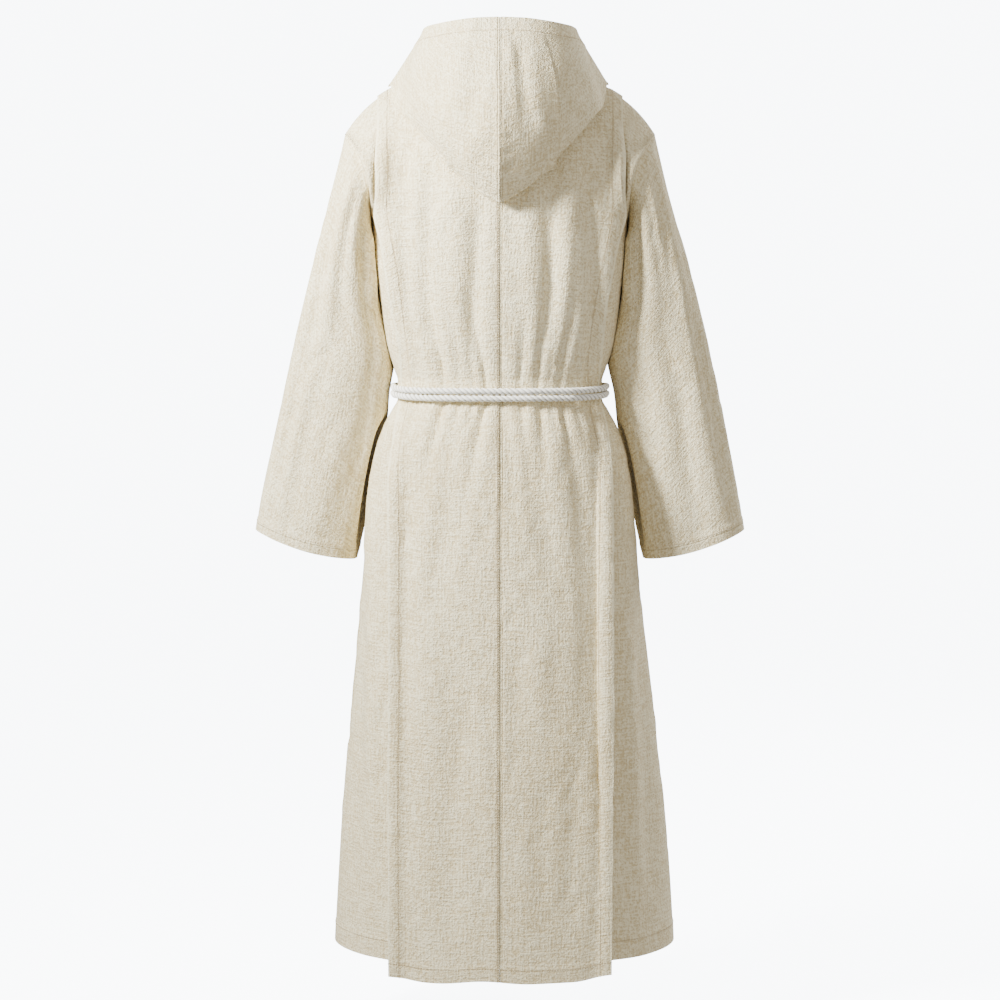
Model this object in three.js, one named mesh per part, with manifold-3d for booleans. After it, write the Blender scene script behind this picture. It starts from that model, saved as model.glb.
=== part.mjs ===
// A hooded religious habit, filled out as it is worn: a long tunic with set-in sleeves, a scapular
// over it with a hood sewn round its neck and dropped on the back, and a rope tied round the waist.
// Millimetres, +Z up. The wearer faces -Y, so +X is the wearer's left and +Y is the back.
// The origin is the middle of the neck, level with the tops of the shoulder seams.
import * as THREE from "three";
import { mergeVertices } from "three/addons/utils/BufferGeometryUtils.js";
import Module from "manifold-3d";

// Cloth and seams.
const CLOTH = 1.6; // thickness of a cloth wall
const SEAM_GAP = 0.3; // between two pieces that are sewn together
const HEM_RAISE = 0.8; // how far a turned hem stands out from the cloth beside it
const HEM_STEP = 3; // width of the slope from the cloth up onto a hem
const NUDGE = 0.004; // step for working out slopes of a surface

// Heights of the tunic.
const HEM_Z = -1395; // lower edge of the tunic
const ARMPIT_Z = -245; // where the side seam meets the armhole
const BELT_Z = -513; // middle of the rope belt at the sides
const TUNIC_HEM = 31; // depth of the tunic's hem

// Neck and shoulders of the tunic.
const NECK_HALF = 82; // half the width of the neck hole
const NAPE_Y = 66; // how far behind the middle the neck hole reaches
const THROAT_Y = 93; // and how far in front
const THROAT_DROP = 82; // the front of the neck hole lies this much lower
const NECK_Z = -4; // the neck end of the shoulder seam
const SHOULDER_HALF = 246; // half the width across the shoulder points
const SHOULDER_SLOPE = 52; // fall of the shoulder seam along a straight line
const SHOULDER_ROUND = 51; // and how much more it falls as it rounds off
const ARMPIT_HALF = 203; // half the width between the armpits
const ARMHOLE_DEPTH = 75; // half the armhole's size from front to back
const ARMHOLE_ROWS = 8; // steps of the armhole's edge on each panel
const CHEST_SQUARE = 2.4; // how square the sections are above the armpits: 2 is an ellipse

// Sections of the tunic below the armpits: half its width, how far it reaches behind and in front
// of the middle, and how square the ring is.
const SECTIONS = [
  { z: -1430, half: 273, back: 198, front: 188, square: 2.15 },
  { z: -1395, half: 272, back: 196, front: 186, square: 2.15 },
  { z: -1230, half: 262, back: 184, front: 175, square: 2.15 },
  { z: -1040, half: 246, back: 170, front: 162, square: 2.2 },
  { z: -848, half: 230, back: 157, front: 150, square: 2.2 },
  { z: -740, half: 220, back: 149, front: 143, square: 2.2 },
  { z: -640, half: 205, back: 141, front: 136, square: 2.25 },
  { z: -580, half: 190, back: 134, front: 129, square: 2.3 },
  { z: -545, half: 172, back: 125, front: 121, square: 2.3 },
  { z: -527, half: 163, back: 119, front: 116, square: 2.3 },
  { z: -499, half: 163, back: 119, front: 116, square: 2.3 },
  { z: -482, half: 168, back: 122, front: 119, square: 2.3 },
  { z: -440, half: 181, back: 128, front: 124, square: 2.3 },
  { z: -390, half: 188, back: 132, front: 128, square: 2.35 },
  { z: -310, half: 199, back: 136.5, front: 131.5, square: 2.4 },
  { z: -245, half: 203, back: 137, front: 132, square: 2.4 },
];

// Gathers pressed in by the belt. share is the place of each across the scapular, from -1 at its
// right edge to 1 at its left; depth is how far it is pressed in, and up and down how far it runs
// above and below the belt.
const BACK_GATHERS = [
  { share: 0.88, depth: 6, up: 120, down: 90 },
  { share: 0.54, depth: 8, up: 170, down: 110 },
  { share: 0.3, depth: 3, up: 90, down: 70 },
  { share: 0.1, depth: 6, up: 140, down: 130 },
  { share: -0.2, depth: 5, up: 80, down: 90 },
  { share: -0.54, depth: 8, up: 180, down: 150 },
  { share: -0.88, depth: 7, up: 130, down: 140 },
];
const FRONT_GATHERS = [
  { share: 0.88, depth: 6, up: 110, down: 120 },
  { share: 0.54, depth: 7, up: 150, down: 100 },
  { share: 0.3, depth: 5, up: 90, down: 120 },
  { share: -0.3, depth: 5, up: 120, down: 90 },
  { share: -0.66, depth: 8, up: 160, down: 130 },
  { share: -0.88, depth: 4, up: 80, down: 100 },
];
const GATHER_WIDTH = 0.055; // half the width of a gather, as a share
const BELT_BAND = 14; // half the height of the band that the belt keeps flat
const BELT_PRESS = 0.45; // under the belt a gather is this much of its depth

// Soft folds of the skirt beside the scapular. at is the place round the section, from 0 at the
// middle of the back or front to 1 at the side seam. A negative depth is a ridge.
const SKIRT_FOLDS = [
  { at: 0.6, depth: 9, width: 0.07 },
  { at: 0.76, depth: -6, width: 0.07 },
  { at: 0.9, depth: 7, width: 0.05 },
];
const SKIRT_FOLD_TOP = -530; // the folds start here and are full SKIRT_FOLD_RUN lower
const SKIRT_FOLD_RUN = 420;

// The scapular's side edges, seen square on from behind or in front.
const SCAPULAR_TOP = 193; // half its width at the shoulder seam
const SCAPULAR_EDGE = [
  { z: -1430, half: 169 },
  { z: -900, half: 171 },
  { z: -640, half: 171 },
  { z: -580, half: 167 },
  { z: -530, half: 157 },
  { z: -513, half: 154 },
  { z: -492, half: 155 },
  { z: -436, half: 160 },
  { z: -380, half: 166 },
  { z: -300, half: 177 },
  { z: -228, half: 188 },
  { z: -47, half: SCAPULAR_TOP },
];
const SCAPULAR_HEM_Z = -1428;
const SCAPULAR_HEM = 23; // depth of its lower hem
const SCAPULAR_SIDE_HEM = 19; // width of its side hems

// How far the scapular's inner face lies off the tunic, from the hem up to the shoulder.
const SCAPULAR_LIFT = [
  { z: -1430, lift: 5 },
  { z: -1000, lift: 4 },
  { z: -640, lift: 2.5 },
  { z: -545, lift: 0.6 },
  { z: -513, lift: 0.4 },
  { z: -480, lift: 0.6 },
  { z: -400, lift: 2 },
  { z: -245, lift: 2 },
  { z: 0, lift: 0.6 },
];

// Sections of a sleeve from the armhole to the cuff. The outer and inner points are those seen from
// behind; depth is half its size from front to back, and forward is how far its middle lies forward.
const SLEEVE = [
  { outerX: 246, outerZ: -107, innerX: 203, innerZ: -245, depth: 75, forward: 0 },
  { outerX: 257, outerZ: -158, innerX: 206, innerZ: -262, depth: 77, forward: 2 },
  { outerX: 273, outerZ: -223, innerX: 208, innerZ: -288, depth: 77, forward: 6 },
  { outerX: 291, outerZ: -288, innerX: 204, innerZ: -334, depth: 76, forward: 10 },
  { outerX: 309, outerZ: -356, innerX: 195, innerZ: -394, depth: 74, forward: 14 },
  { outerX: 326, outerZ: -426, innerX: 184, innerZ: -456, depth: 72, forward: 18 },
  { outerX: 342, outerZ: -498, innerX: 180, innerZ: -522, depth: 71, forward: 21 },
  { outerX: 357, outerZ: -566, innerX: 187, innerZ: -588, depth: 70, forward: 24 },
  { outerX: 372, outerZ: -632, innerX: 202, innerZ: -656, depth: 70, forward: 26 },
  { outerX: 384, outerZ: -688, innerX: 216, innerZ: -724, depth: 70, forward: 27 },
  { outerX: 392, outerZ: -737, innerX: 231, innerZ: -784, depth: 70, forward: 28 },
];
const SLEEVE_STEPS = 12; // rings along the sleeve, without those of the cuff's hem
const CUFF_HEM = 25;
const CUFF_BOW = 9; // how much lower the cuff hangs in the middle than between its two edges
const SLEEVE_CLEAR = 2.5; // how far a sleeve stays off the tunic's side
// Long soft folds of a sleeve: the place round it in turns from its outer edge by way of the back.
const SLEEVE_FOLDS = [
  { turn: 0.13, depth: 5, width: 0.035, start: 0.12, end: 0.95 },
  { turn: 0.27, depth: 6, width: 0.04, start: 0.05, end: 0.7 },
  { turn: 0.4, depth: 4, width: 0.035, start: 0.2, end: 1 },
  { turn: 0.66, depth: 5, width: 0.04, start: 0.1, end: 0.8 },
  { turn: 0.84, depth: 5, width: 0.035, start: 0.15, end: 1 },
];

// Stations of the hood from the middle of the back round to the throat. neck is the place on the
// neck hole as a share of the scapular; foldX and foldZ are the lower edge of the dropped hood as
// seen from behind or in front, and apart is how far apart the two layers are there; rimX, rimY and
// rimZ are the face opening, and bulge is how far the outer layer swells out between them. Side -1
// is the front.
const HOOD = [
  { side: 1, neck: 0, foldX: 0, foldZ: -222, apart: 9, rimX: 0, rimY: 118, rimZ: 66, bulge: 62 },
  { side: 1, neck: 0.1, foldX: 38, foldZ: -200, apart: 9, rimX: 36, rimY: 115, rimZ: 65, bulge: 56 },
  { side: 1, neck: 0.2, foldX: 76, foldZ: -165, apart: 9, rimX: 70, rimY: 103, rimZ: 62, bulge: 44 },
  { side: 1, neck: 0.3, foldX: 112, foldZ: -126, apart: 8, rimX: 97, rimY: 82, rimZ: 59, bulge: 28 },
  { side: 1, neck: 0.38, foldX: 141, foldZ: -92, apart: 7, rimX: 114, rimY: 56, rimZ: 57, bulge: 12 },
  { side: 1, neck: 0.41, foldX: 157, foldZ: -70, apart: 6, rimX: 121, rimY: 30, rimZ: 54, bulge: 3 },
  { side: 1, neck: 0.4249, foldX: 167, foldZ: -20, apart: 5, rimX: 122, rimY: 5, rimZ: 49, bulge: 0 },
  { side: -1, neck: 0.41, foldX: 159, foldZ: -60, apart: 6, rimX: 120, rimY: -16, rimZ: 38, bulge: 0 },
  { side: -1, neck: 0.38, foldX: 145, foldZ: -80, apart: 7, rimX: 112, rimY: -40, rimZ: 22, bulge: 4 },
  { side: -1, neck: 0.3, foldX: 118, foldZ: -102, apart: 8, rimX: 96, rimY: -64, rimZ: 2, bulge: 8 },
  { side: -1, neck: 0.2, foldX: 84, foldZ: -120, apart: 9, rimX: 74, rimY: -86, rimZ: -24, bulge: 12 },
  { side: -1, neck: 0.1, foldX: 46, foldZ: -134, apart: 9, rimX: 44, rimY: -106, rimZ: -54, bulge: 10 },
  { side: -1, neck: 0.03, foldX: 10, foldZ: -141, apart: 9, rimX: 9, rimY: -118, rimZ: -84, bulge: 4 },
];
// The hood's under layer, which lies on the scapular: a share of the way from the neck seam to the
// lower edge, and how far it lies off.
const HOOD_UNDER = [
  { share: 0, lift: 0.3 },
  { share: 0.06, lift: 3 },
  { share: 0.18, lift: 7 },
  { share: 0.4, lift: 9 },
  { share: 0.7, lift: 8 },
  { share: 1, lift: 5.5 },
];
const HOOD_CORNER = 2; // and how much more at the corners of the neck hole, at share 0
const HOOD_OUTER_ROWS = 7; // rows of the outer layer, without those of the rim's hem
const HOOD_RIM_HEM = 25;

// The rope belt, doubled and knotted in front, with two ends that hang down.
const ROPE_RADIUS = 5.5;
const ROPE_SIDES = 8;
const ROPE_SEAT = 1.3; // the rope's surface over the cloth that it presses on
const ROPE_APART = 11.4; // between the middles of the two turns
const BELT_STEPS = 48;
const KNOT_HALF = { x: 23, y: 14, z: 21 };
const KNOT_X = 10; // the knot sits a little to the wearer's left of the middle
const END_SPREAD = [-9, 9]; // where the two ends leave the knot
const END_PATH = [
  { z: -522, out: 2, spread: 1 },
  { z: -550, out: 2, spread: 1 },
  { z: -600, out: 2, spread: 1.1 },
  { z: -690, out: 2, spread: 1.3 },
  { z: -790, out: 2, spread: 1.6 },
  { z: -870, out: 2, spread: 1.9 },
];

const LINEN = { color: 0xd9cdb6, roughness: 0.95, metalness: 0 };
const COTTON_ROPE = { color: 0xe4e1d8, roughness: 0.9, metalness: 0 };

const habit = new THREE.Group();
const wasm = await Module();
wasm.setup();

const clamp = (x, low, high) => Math.min(high, Math.max(low, x));
const mix = (a, b, t) => a + (b - a) * t;
function smooth(x) {
  const t = clamp(x, 0, 1);
  return t * t * (3 - 2 * t);
}
const bell = (x) => Math.exp(-x * x);

// A smooth curve through one column of a table, by the table's key. It never overshoots a row.
function column(table, key, name) {
  const rows = [...table].sort((a, b) => a[key] - b[key]);
  const rise = rows
    .slice(1)
    .map((r, i) => (r[name] - rows[i][name]) / (r[key] - rows[i][key]));
  const slope = rows.map((r, i) => {
    if (i === 0 || i === rows.length - 1) return rise[i === 0 ? 0 : i - 1];
    const [before, after] = [rise[i - 1], rise[i]];
    return before * after <= 0 ? 0 : (2 * before * after) / (before + after);
  });
  return (at) => {
    const x = clamp(at, rows[0][key], rows[rows.length - 1][key]);
    const i = clamp(rows.findIndex((r) => r[key] >= x) - 1, 0, rows.length - 2);
    const long = rows[i + 1][key] - rows[i][key];
    const t = (x - rows[i][key]) / long;
    return (
      rows[i][name] * (1 + 2 * t) * (1 - t) ** 2 +
      rows[i + 1][name] * t * t * (3 - 2 * t) +
      long * t * (1 - t) * (slope[i] * (1 - t) - slope[i + 1] * t)
    );
  };
}

const halfWidth = column(SECTIONS, "z", "half");
const backDepth = column(SECTIONS, "z", "back");
const frontDepth = column(SECTIONS, "z", "front");
const squareness = column(SECTIONS, "z", "square");
const scapularHalf = column(SCAPULAR_EDGE, "z", "half");
const scapularLift = column(SCAPULAR_LIFT, "z", "lift");

// The body's surface is read by side (1 behind, -1 in front), q and level. q runs from -1 to 1
// between the side seams. level is -1 at the tunic's hem, 0 at the armpits and 1 at the shoulder
// seam and the neck.
const TOP_Z = SCAPULAR_EDGE[SCAPULAR_EDGE.length - 1].z;
const levelOf = (z) => (z - ARMPIT_Z) / (ARMPIT_Z - HEM_Z);
const heightOf = (level) =>
  level <= 0 ? ARMPIT_Z + level * (ARMPIT_Z - HEM_Z) : mix(ARMPIT_Z, TOP_Z, level);
const across = (q, square) =>
  Math.sign(q) * Math.abs(Math.sin((Math.PI * q) / 2)) ** (2 / square);
const inward = (q, square) => Math.max(0, Math.cos((Math.PI * q) / 2)) ** (2 / square);
const qOf = (share, square) =>
  (Math.sign(share) * 2 * Math.asin(Math.min(1, Math.abs(share)) ** (square / 2))) / Math.PI;

// Height of the shoulder seam, or of the neck hole's edge, over a place across the shoulders.
function topZ(side, x) {
  const out = Math.abs(x);
  if (out < NECK_HALF)
    return side > 0 ? NECK_Z : NECK_Z - THROAT_DROP * (1 - (out / NECK_HALF) ** 2) ** 0.6;
  const t = (out - NECK_HALF) / (SHOULDER_HALF - NECK_HALF);
  return NECK_Z - SHOULDER_SLOPE * t - SHOULDER_ROUND * t ** 4;
}
function topY(side, x) {
  const round = Math.sqrt(Math.max(0, 1 - (x / NECK_HALF) ** 2));
  return (side > 0 ? NAPE_Y : THROAT_Y) * round;
}

// Half the width at the armhole's edge, for a share of its height.
const armholeHalf = (level) => mix(ARMPIT_HALF, SHOULDER_HALF, level ** 2.6);
const edgeHalf = (level) => (level <= 0 ? halfWidth(heightOf(level)) : armholeHalf(level));
const squareAt = (level) => (level <= 0 ? squareness(heightOf(level)) : CHEST_SQUARE);

// The shape before any fold.
function plainBody(side, q, level) {
  if (level <= 0) {
    const z = heightOf(level);
    const square = squareness(z);
    const deep = side > 0 ? backDepth(z) : frontDepth(z);
    return new THREE.Vector3(halfWidth(z) * across(q, square), side * deep * inward(q, square), z);
  }
  const share = across(q, CHEST_SQUARE);
  const topX = SHOULDER_HALF * share;
  const deep = side > 0 ? backDepth(ARMPIT_Z) : frontDepth(ARMPIT_Z);
  const rounding = Math.max(0, 1 - level ** 1.8) ** 0.75;
  const bow = Math.max(0, Math.sin(Math.PI * Math.min(level, 1))) ** 0.6;
  return new THREE.Vector3(
    armholeHalf(level) * share,
    side * mix(topY(side, topX), deep * inward(q, CHEST_SQUARE), rounding) +
      side * ARMHOLE_DEPTH * bow * Math.abs(share) ** 10,
    mix(ARMPIT_Z, topZ(side, topX), level),
  );
}

// The outward direction square to a surface that is given as a function of side, q and level.
function outward(surface, side, q, level) {
  const q0 = Math.max(-1, q - NUDGE);
  const q1 = Math.min(1, q + NUDGE);
  const high = Math.min(1, level + NUDGE);
  const low = high - 2 * NUDGE;
  const along = surface(side, q1, level).sub(surface(side, q0, level));
  const up = surface(side, q, high).sub(surface(side, q, low));
  const normal = side > 0 ? up.cross(along) : along.cross(up);
  const sideSeam = Math.abs(q) > 0.999 && level <= 0;
  const shoulderSeam = level > 0.999 && SHOULDER_HALF * Math.abs(across(q, CHEST_SQUARE)) > NECK_HALF - 0.5;
  if (sideSeam || shoulderSeam) normal.y = 0;
  return normal.normalize();
}

// How far the cloth is pressed in by the gathers at the belt and the folds of the skirt.
function folded(side, x, q, z) {
  const share = x / scapularHalf(z);
  const off = z - BELT_Z;
  const away = Math.max(0, Math.abs(off) - BELT_BAND);
  const press = mix(BELT_PRESS, 1, smooth(away / 30));
  let depth = 0;
  for (const g of side > 0 ? BACK_GATHERS : FRONT_GATHERS) {
    const run = off > 0 ? g.up : g.down;
    depth += g.depth * press * bell((share - g.share) / GATHER_WIDTH) * bell(away / run);
  }
  const low = smooth((SKIRT_FOLD_TOP - z) / SKIRT_FOLD_RUN);
  for (const f of SKIRT_FOLDS) depth += f.depth * low * bell((Math.abs(q) - f.at) / f.width);
  return depth;
}

// The outer face of the tunic, and of whatever lies lift over it.
function body(side, q, level) {
  const p = plainBody(side, q, level);
  return p.addScaledVector(outward(plainBody, side, q, level), -folded(side, p.x, q, p.z));
}
const over = (side, q, level, lift) =>
  body(side, q, level).addScaledVector(outward(body, side, q, level), lift);

// The place on the upper body, as q and level, that is seen at x and z from behind or in front.
function placeOf(side, x, z) {
  let level = 0.5;
  let share = 0;
  for (let i = 0; i < 12; i++) {
    share = clamp(x / armholeHalf(level), -1, 1);
    level = clamp((z - ARMPIT_Z) / (topZ(side, SHOULDER_HALF * share) - ARMPIT_Z), 0, 1);
  }
  return { q: qOf(share, CHEST_SQUARE), level };
}

function add(name, geometry, look) {
  const mesh = new THREE.Mesh(geometry, new THREE.MeshStandardMaterial(look));
  mesh.name = name;
  habit.add(mesh);
}

// A closed wall between an outer and an inner grid of points. round says that each row is a ring.
function wall(name, outer, inner, round) {
  const [rows, cols] = [outer.length, outer[0].length];
  const points = [...outer.flat(), ...inner.flat()];
  const at = (layer, i, j) => layer * rows * cols + i * cols + (j % cols);
  const faces = [];
  const quad = (a, b, c, d) => faces.push(a, b, c, a, c, d);
  const spans = round ? cols : cols - 1;
  for (let i = 0; i < rows - 1; i++)
    for (let j = 0; j < spans; j++) {
      quad(at(0, i, j), at(0, i, j + 1), at(0, i + 1, j + 1), at(0, i + 1, j));
      quad(at(1, i, j), at(1, i + 1, j), at(1, i + 1, j + 1), at(1, i, j + 1));
    }
  for (let j = 0; j < spans; j++) {
    quad(at(1, 0, j), at(1, 0, j + 1), at(0, 0, j + 1), at(0, 0, j));
    quad(at(0, rows - 1, j), at(0, rows - 1, j + 1), at(1, rows - 1, j + 1), at(1, rows - 1, j));
  }
  if (!round)
    for (let i = 0; i < rows - 1; i++) {
      quad(at(0, i, 0), at(0, i + 1, 0), at(1, i + 1, 0), at(1, i, 0));
      quad(at(1, i, cols - 1), at(1, i + 1, cols - 1), at(0, i + 1, cols - 1), at(0, i, cols - 1));
    }
  let volume = 0;
  for (let f = 0; f < faces.length; f += 3)
    volume += points[faces[f]].dot(points[faces[f + 1]].clone().cross(points[faces[f + 2]]));
  if (volume < 0) faces.reverse();
  const geometry = new THREE.BufferGeometry();
  geometry.setAttribute("position", new THREE.Float32BufferAttribute(points.flatMap((p) => p.toArray()), 3));
  geometry.setIndex(faces);
  geometry.computeVertexNormals();
  add(name, geometry, LINEN);
}

// How far a hem stands out, at a distance from the cloth's edge.
const hemRaise = (distance, hem) => HEM_RAISE * smooth((hem + HEM_STEP - distance) / HEM_STEP);

// Levels of the rows of a panel up to the shoulder seam. The tunic and the scapular share them, and
// the rows over the armpit are those of the armhole's edge, which the sleeve shares too.
const ARMHOLE_LEVELS = Array.from(
  { length: ARMHOLE_ROWS + 1 },
  (_, i) => (1 - Math.cos((Math.PI * i) / ARMHOLE_ROWS)) / 2,
);
const TUNIC_LEVELS = [
  HEM_Z, HEM_Z + TUNIC_HEM, HEM_Z + TUNIC_HEM + HEM_STEP, -1200, -1010, -840, -710, -625, -570, -545,
  BELT_Z - BELT_BAND, BELT_Z + BELT_BAND, -482, -440, -380, -310,
].map(levelOf);
TUNIC_LEVELS.push(...ARMHOLE_LEVELS);
const SCAPULAR_LEVELS = [
  ...[SCAPULAR_HEM_Z, SCAPULAR_HEM_Z + SCAPULAR_HEM].map(levelOf),
  ...TUNIC_LEVELS,
];

// Columns of half a panel: shares of the scapular up to its edge, and then, for the tunic, shares of
// what is left to the side seam.
const NECK_SHARE = NECK_HALF / SCAPULAR_TOP;
const INNER_SHARES = [0, 0.1, 0.2, 0.3, 0.38, NECK_SHARE, 0.54, 0.66, 0.78];
const OUTER_SHARES = [0.18, 0.36, 0.54, 0.7, 0.85, 1];
const scapularShares = (level) => [
  ...INNER_SHARES,
  1 - SCAPULAR_SIDE_HEM / scapularHalf(heightOf(level)),
  1,
];
const scapularQ = (level, share) =>
  qOf((share * scapularHalf(heightOf(level))) / edgeHalf(level), squareAt(level));
const mirrored = (half) => [...half.slice(1).reverse().map((v) => -v), ...half];

// Where the outer faces run under the belt, and the neck edge of the scapular on either side.
const underBelt = [];
const neckEdge = {};

function keepUnderBelt(level, points) {
  if (Math.abs(heightOf(level) - BELT_Z) < BELT_BAND + 1) underBelt.push(...points);
}

function tunicPanel(name, side) {
  const outer = [];
  const inner = [];
  for (const level of TUNIC_LEVELS) {
    const raise = level < 0 ? hemRaise((level + 1) * (ARMPIT_Z - HEM_Z), TUNIC_HEM) : 0;
    const half = scapularShares(level).map((share) => scapularQ(level, share));
    const edge = half[half.length - 1];
    half.push(...OUTER_SHARES.map((share) => mix(edge, 1, share)));
    const lines = mirrored(half).map((q) => {
      const p = body(side, q, level);
      const normal = outward(body, side, q, level);
      const pastNeck = SHOULDER_HALF * Math.abs(across(q, CHEST_SQUARE)) > NECK_HALF - 0.5;
      if ((Math.abs(q) > 0.999 && level <= 0) || (level > 0.999 && pastNeck))
        p.y = (side * SEAM_GAP) / 2;
      return [p.clone().addScaledVector(normal, raise), p.addScaledVector(normal, -CLOTH)];
    });
    outer.push(lines.map((l) => l[0]));
    inner.push(lines.map((l) => l[1]));
    keepUnderBelt(level, lines.map((l) => l[0]));
  }
  wall(name, outer, inner, false);
}

// A stretch of the scapular over the tunic, whose points are the tunic's, moved out. seam is the
// side on which the middle of the back lies open: 1 for a left half, -1 for a right half, 0 for none.
function scapularPanel(name, side, seam) {
  const outer = [];
  const inner = [];
  for (const level of SCAPULAR_LEVELS) {
    const z = heightOf(level);
    const bottom = hemRaise(z - SCAPULAR_HEM_Z, SCAPULAR_HEM);
    const half = scapularShares(level);
    const shares = mirrored(half).filter((share) => share * seam >= 0);
    const lines = shares.map((share) => {
      const q = scapularQ(level, share);
      const p = over(side, q, level, scapularLift(z));
      const normal = outward(body, side, q, level);
      if (seam && share === 0) {
        p.x = (seam * SEAM_GAP) / 2;
        normal.setX(0).normalize();
      }
      if (level > 0.999 && Math.abs(share) > NECK_SHARE - 0.001) p.y = (side * SEAM_GAP) / 2;
      const edge = hemRaise((1 - Math.abs(share)) * scapularHalf(z), SCAPULAR_SIDE_HEM);
      return [p.clone().addScaledVector(normal, CLOTH + Math.max(bottom, edge)), p];
    });
    outer.push(lines.map((l) => l[0]));
    inner.push(lines.map((l) => l[1]));
    keepUnderBelt(level, lines.map((l) => l[0]));
  }
  if (seam >= 0) neckEdge[side] = outer[outer.length - 1].filter((p) => p.x > 0 && p.x < NECK_HALF + 2);
  wall(name, outer, inner, false);
}

// A sleeve. Its first ring lies along the armhole, and later ones turn into the cuff's.
const SLEEVE_KEYS = SLEEVE.map((row, i) => ({ ...row, t: i / (SLEEVE.length - 1) }));
const sleeveColumn = (name) => column(SLEEVE_KEYS, "t", name);
const sleeveOuterX = sleeveColumn("outerX");
const sleeveOuterZ = sleeveColumn("outerZ");
const sleeveInnerX = sleeveColumn("innerX");
const sleeveInnerZ = sleeveColumn("innerZ");
const sleeveDepth = sleeveColumn("depth");
const sleeveForward = sleeveColumn("forward");

// A point of the armhole's edge, turn going from the shoulder by way of the back and the armpit.
function armhole(turn) {
  const side = turn <= 0.5 ? 1 : -1;
  const level = (1 + Math.cos(2 * Math.PI * turn)) / 2;
  return { point: body(side, 1, level), normal: outward(body, side, 1, level) };
}

// The tunic's outermost x at a height and a depth, which the sleeve keeps clear of.
function bodyHalfAt(y, z) {
  if (z > ARMPIT_Z) return 0;
  const deep = y > 0 ? backDepth(z) : frontDepth(z);
  const square = squareness(z);
  const ridge = z < SKIRT_FOLD_TOP ? 4 : 0;
  return halfWidth(z) * Math.max(0, 1 - (Math.abs(y) / deep) ** square) ** (1 / square) + ridge;
}

function sleevePoint(turn, t) {
  const angle = 2 * Math.PI * turn;
  const share = (1 + Math.cos(angle)) / 2;
  let fold = 0;
  for (const f of SLEEVE_FOLDS) {
    const ends = smooth((t - f.start) / 0.15) * smooth((f.end + 0.1 - t) / 0.15);
    fold += f.depth * ends * bell((turn - f.turn) / f.width);
  }
  const along = Math.sin(angle);
  const deep = sleeveDepth(t) - fold;
  const p = new THREE.Vector3(
    mix(sleeveInnerX(t), sleeveOuterX(t), share),
    deep * Math.sign(along) * Math.abs(along) ** 0.9 - sleeveForward(t),
    mix(sleeveInnerZ(t), sleeveOuterZ(t), share),
  );
  p.z -= CUFF_BOW * along ** 2 * t ** 4;
  p.x = Math.max(p.x, bodyHalfAt(p.y, p.z) + SLEEVE_CLEAR + CLOTH);
  return armhole(turn).point.lerp(p, smooth(t / 0.16));
}

function sleeve(name, hand) {
  const long = 10 * sleevePoint(0.25, 1).distanceTo(sleevePoint(0.25, 0.9));
  const rings = Array.from({ length: SLEEVE_STEPS }, (_, i) => i / SLEEVE_STEPS);
  rings.push(1 - (CUFF_HEM + HEM_STEP) / long, 1 - CUFF_HEM / long, 1);
  const turns = Array.from({ length: 2 * ARMHOLE_ROWS }, (_, j) => j / (2 * ARMHOLE_ROWS));
  const outer = [];
  const inner = [];
  for (const t of rings) {
    const raise = hemRaise((1 - t) * long, CUFF_HEM);
    const lines = turns.map((turn) => {
      const p = sleevePoint(turn, t);
      const round = sleevePoint((turn + 0.01) % 1, t).sub(sleevePoint((turn + 0.99) % 1, t));
      const down = sleevePoint(turn, Math.min(1, t + 0.01)).sub(sleevePoint(turn, Math.max(0, t - 0.01)));
      const normal = t > 0 ? down.clone().cross(round).normalize() : armhole(turn).normal;
      if (t === 0) p.addScaledVector(down.normalize(), SEAM_GAP);
      const pair = [p.clone().addScaledVector(normal, raise), p.addScaledVector(normal, -CLOTH)];
      return pair.map((v) => v.setX(hand * v.x));
    });
    outer.push(lines.map((l) => l[0]));
    inner.push(lines.map((l) => l[1]));
  }
  wall(name, outer, inner, true);
}

// The outer face of half the hood at one station, from the neck seam down to the lower edge and up
// to the rim.
function hoodPath(station) {
  const { side } = station;
  const edge = neckEdge[side];
  const x = station.neck * SCAPULAR_TOP;
  const next = clamp(edge.findIndex((p) => p.x > x), 1, edge.length - 1);
  const from = edge[next - 1].clone().lerp(edge[next], (x - edge[next - 1].x) / (edge[next].x - edge[next - 1].x));
  const corner = HOOD_CORNER * smooth((station.neck - 0.28) / 0.12);
  const off = new THREE.Vector3((0.27 * from.x) / NECK_HALF, (0.8 * from.y) / NAPE_Y, 1).normalize();
  const path = [];
  let normal;
  for (const row of HOOD_UNDER) {
    const place = placeOf(side, mix(from.x, station.foldX, row.share), mix(from.z, station.foldZ, row.share));
    normal = outward(body, side, place.q, place.level);
    const cloth = scapularLift(heightOf(place.level)) + CLOTH;
    path.push(
      row.share === 0
        ? from.clone().addScaledVector(off, row.lift + corner)
        : over(side, place.q, place.level, cloth + row.lift + corner * (1 - row.share)),
    );
  }
  const low = path[path.length - 1];
  const turned = low.clone().addScaledVector(normal, station.apart);
  path.push(low.clone().lerp(turned, 0.5).add(new THREE.Vector3(0, 0, -2.5)));
  const rim = new THREE.Vector3(station.rimX, station.rimY, station.rimZ);
  const out = turned.clone().add(rim).setZ(0).normalize();
  const long = turned.distanceTo(rim);
  const shares = Array.from({ length: HOOD_OUTER_ROWS }, (_, i) => i / HOOD_OUTER_ROWS);
  shares.push(1 - (HOOD_RIM_HEM + HEM_STEP) / long, 1 - HOOD_RIM_HEM / long, 1);
  for (const share of shares) {
    const swell = station.bulge * Math.sin(Math.PI * share ** 0.85);
    const raise = hemRaise((1 - share) * long, HOOD_RIM_HEM);
    path.push(turned.clone().lerp(rim, share).addScaledVector(out, swell + raise));
  }
  return path;
}

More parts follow.
